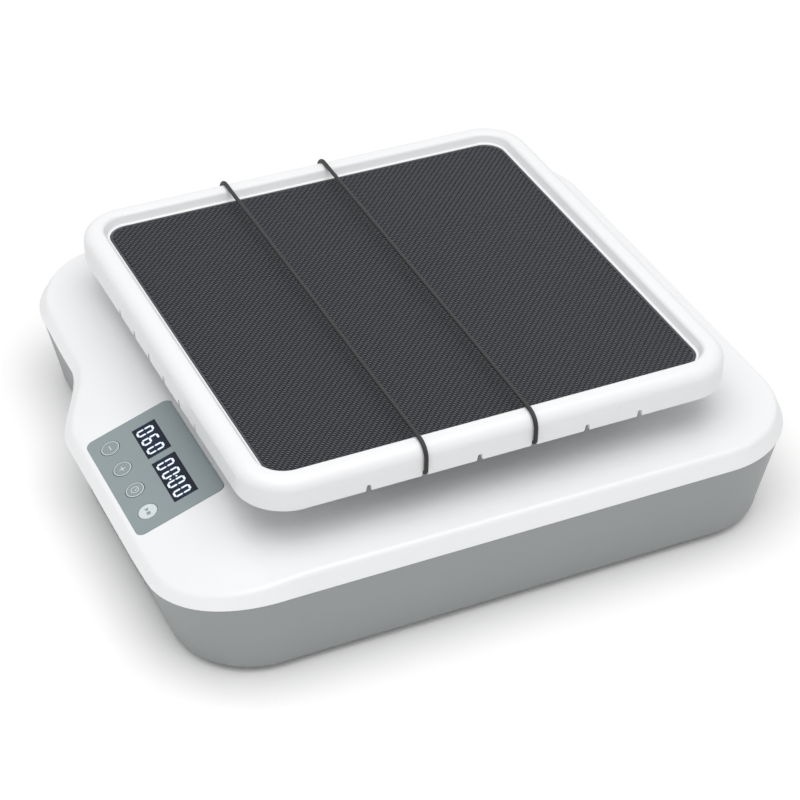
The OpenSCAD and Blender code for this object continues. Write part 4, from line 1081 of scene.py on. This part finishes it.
class SHAKER_OT_panel(Operator):
    """Light the displays and print the keys of the control panel"""
    bl_idname = "shaker.panel"
    bl_label = "Control panel"

    shown = {"speed_display": "060", "time_display": "00:00"}
    lit = {"0": "abcdef", "6": "acdefg"}

    def execute(self, context):
        housing = Housing(context.scene.shaker_housing)
        colours = context.scene.shaker_colours
        sizes = context.scene.shaker_panel
        slope = housing.slope()
        low, high = self.flat_box("speed_display", slope)
        glow = 0.62                     # the glow's reach, as a share of the window
        glass = display_window(colours.display, slope.translation, housing.sizes.slope_tilt,
                               (low.y + high.y) / 2, glow * (high.y - low.y))
        strokes = []
        for node, text in self.shown.items():
            painted(node, glass)
            strokes += self.digits(text, sizes, *self.flat_box(node, slope))
        finished("display_digits", joined(strokes, slope), lit_digit(colours.digit),
                 "housing", "display", 40.0)
        ink, film = key_print(colours.print_light), bpy.data.materials["gloss_overlay"]
        for name in ("minus", "plus", "time", "run"):
            self.key(name, sizes, slope, *((ink, film) if name == "run" else (film, ink)))
        return {"FINISHED"}

    def flat_box(self, node, slope):
        """A node's lowest and highest corner in the slope's own coordinates."""
        back = slope.inverted()
        points = [back @ v.co for v in frame["nodes"][node].data.vertices]
        return [Vector([pick(p[k] for p in points) for k in range(3)]) for pick in (min, max)]

    def digits(self, text, p, low, high):
        """The digits of one window, and the colon between them."""
        meshes = []
        numbers = text.replace(":", "")
        pitch = (high.x - low.x - 2 * p.side_margin) / len(numbers)
        foot = low.y + p.foot_margin
        for i, number in enumerate(numbers):
            x = low.x + p.side_margin + pitch * (i + 0.5) - p.digit_width / 2
            meshes += self.strokes(number, p, x, foot, high.z)
        if ":" in text:
            x, dot = (low.x + high.x) / 2, 0.6 * MM
            for y in (foot + 0.3 * p.digit_height, foot + 0.66 * p.digit_height):
                meshes.append(prism(rounded(x - dot, y - dot, x + dot, y + dot, 0.4 * MM, 4),
                                    high.z, high.z + p.print_height))
        return meshes

    def strokes(self, number, p, x, y, z):
        """The lit strokes of one digit, each a bar with pointed ends."""
        r = p.stroke / 2
        left, right, low = x + r, x + p.digit_width - r, y + r
        mid, top = y + p.digit_height / 2, y + p.digit_height - r
        ends = {"a": (left, top, right, top), "b": (right, mid, right, top),
                "c": (right, low, right, mid), "d": (left, low, right, low),
                "e": (left, low, left, mid), "f": (left, mid, left, top),
                "g": (left, mid, right, mid)}
        for name in self.lit[number]:
            a, b, way, side = self.line(*ends[name], r)
            a, b = a + way * p.stroke_gap, b - way * p.stroke_gap
            yield prism([a, a + way * r - side, b - way * r - side, b, b - way * r + side,
                         a + way * r + side], z, z + p.print_height)

    def line(self, x0, y0, x1, y1, half):
        """A line's ends, its direction, and half its width to the side."""
        a, b = Vector((x0, y0)), Vector((x1, y1))
        way = (b - a).normalized()
        return a, b, way, Vector((-way.y, way.x)) * half

    def key(self, name, p, slope, cap, mark):
        """One dished key with its outline and sign, standing for the plain one."""
        node, body = "key_" + name, name + "_button"
        low, high = self.flat_box(node, slope)
        cx, cy = (low.x + high.x) / 2, (low.y + high.y) / 2
        radius, top = (high.x - low.x) / 2, high.z
        stem, under, edge, dish = p.key_stem, top - p.key_cap, p.key_round, p.key_dish
        solid = turned(cx, cy, [
            (stem, low.z), (stem, under), (radius, under), (radius, top - edge),
            (radius - 0.3 * edge, top - 0.3 * edge), (radius - edge, top),
            (0.7 * radius, top - 0.6 * dish), (0.35 * radius, top - dish),
            (0.05 * radius, top - dish)], 64)
        finished(node + "_cap", joined([solid], slope), cap, body, "button", 40.0, node)
        marks = self.sign(name, p, cx, cy, top - dish)
        if name != "run":
            outer = radius - p.ring_in
            marks.append(self.hoop(cx, cy, outer - p.ring_width, outer,
                                   top - 0.1 * MM, top + 0.05 * MM))
        finished(node + "_print", joined(marks, slope), mark, body, "button", 40.0)

    def hoop(self, cx, cy, inner, outer, low, high, steps=64):
        """Flat ring."""
        return turned(cx, cy, ((inner, low), (outer, low), (outer, high), (inner, high)),
                      steps, False)

    def sign(self, name, p, cx, cy, face):
        """Plain signs: less, more, a clock, and run beside stop; their places in mm."""
        low, high = face - 0.1 * MM, face + 0.14 * MM

        def bar(x0, y0, x1, y1, width):
            a, b, _, side = self.line(cx + x0 * MM, cy + y0 * MM, cx + x1 * MM, cy + y1 * MM,
                                      width / 2)
            return prism([a - side, b - side, b + side, a + side], low, high)

        thick, thin = p.sign_stroke, p.clock_stroke
        if name == "minus":
            return [bar(-2, 0, 2, 0, thick)]
        if name == "plus":
            return [bar(-2, 0, 2, 0, thick), bar(0, 0.28, 0, 2, thick),
                    bar(0, -2, 0, -0.28, thick)]
        if name == "time":
            return [self.hoop(cx, cy, 2.15 * MM, 2.6 * MM, low, high, 40),
                    bar(0, 0, 0, 1.7, thin), bar(0.23, 0, 1.3, 0, thin)]
        triangle = [(cx + x * MM, cy + y * MM) for x, y in ((-2.6, -1.4), (-0.3, 0), (-2.6, 1.4))]
        block = rounded(cx + 0.6 * MM, cy - 1.2 * MM, cx + 3.0 * MM, cy + 1.2 * MM, 0.2 * MM)
        return [prism(triangle, low, high), prism(block, low, high)]


OPERATORS = (SHAKER_OT_stage, SHAKER_OT_finishes, SHAKER_OT_cover, SHAKER_OT_base,
             SHAKER_OT_tray, SHAKER_OT_mat, SHAKER_OT_bands, SHAKER_OT_panel)
SETTINGS = {"shaker_housing": HousingSizes, "shaker_tray": TraySizes,
            "shaker_panel": PanelSizes, "shaker_colours": FinishColours,
            "shaker_stage": StageSettings}


class SHAKER_PT_sidebar(Panel):
    """Lists the shaker's pieces and their sizes"""
    bl_idname = "SHAKER_PT_sidebar"
    bl_label = "Orbital shaker"
    bl_space_type = "VIEW_3D"
    bl_region_type = "UI"
    bl_category = "Shaker"

    def draw(self, context):
        for operator in OPERATORS:
            self.layout.operator(operator.bl_idname)
        for name in SETTINGS:
            group = getattr(context.scene, name)
            box = self.layout.box()
            for key in group.__annotations__:
                box.prop(group, key)


CLASSES = (*SETTINGS.values(), *OPERATORS, SHAKER_PT_sidebar)


def register():
    for cls in CLASSES:
        bpy.utils.register_class(cls)
    for name, group in SETTINGS.items():
        setattr(bpy.types.Scene, name, PointerProperty(type=group))


def unregister():
    for name in SETTINGS:
        delattr(bpy.types.Scene, name)
    for cls in reversed(CLASSES):
        bpy.utils.unregister_class(cls)


def main():
    register()
    for operator in OPERATORS:
        group, name = operator.bl_idname.split(".")
        getattr(getattr(bpy.ops, group), name)()


if __name__ == "__main__":
    main()
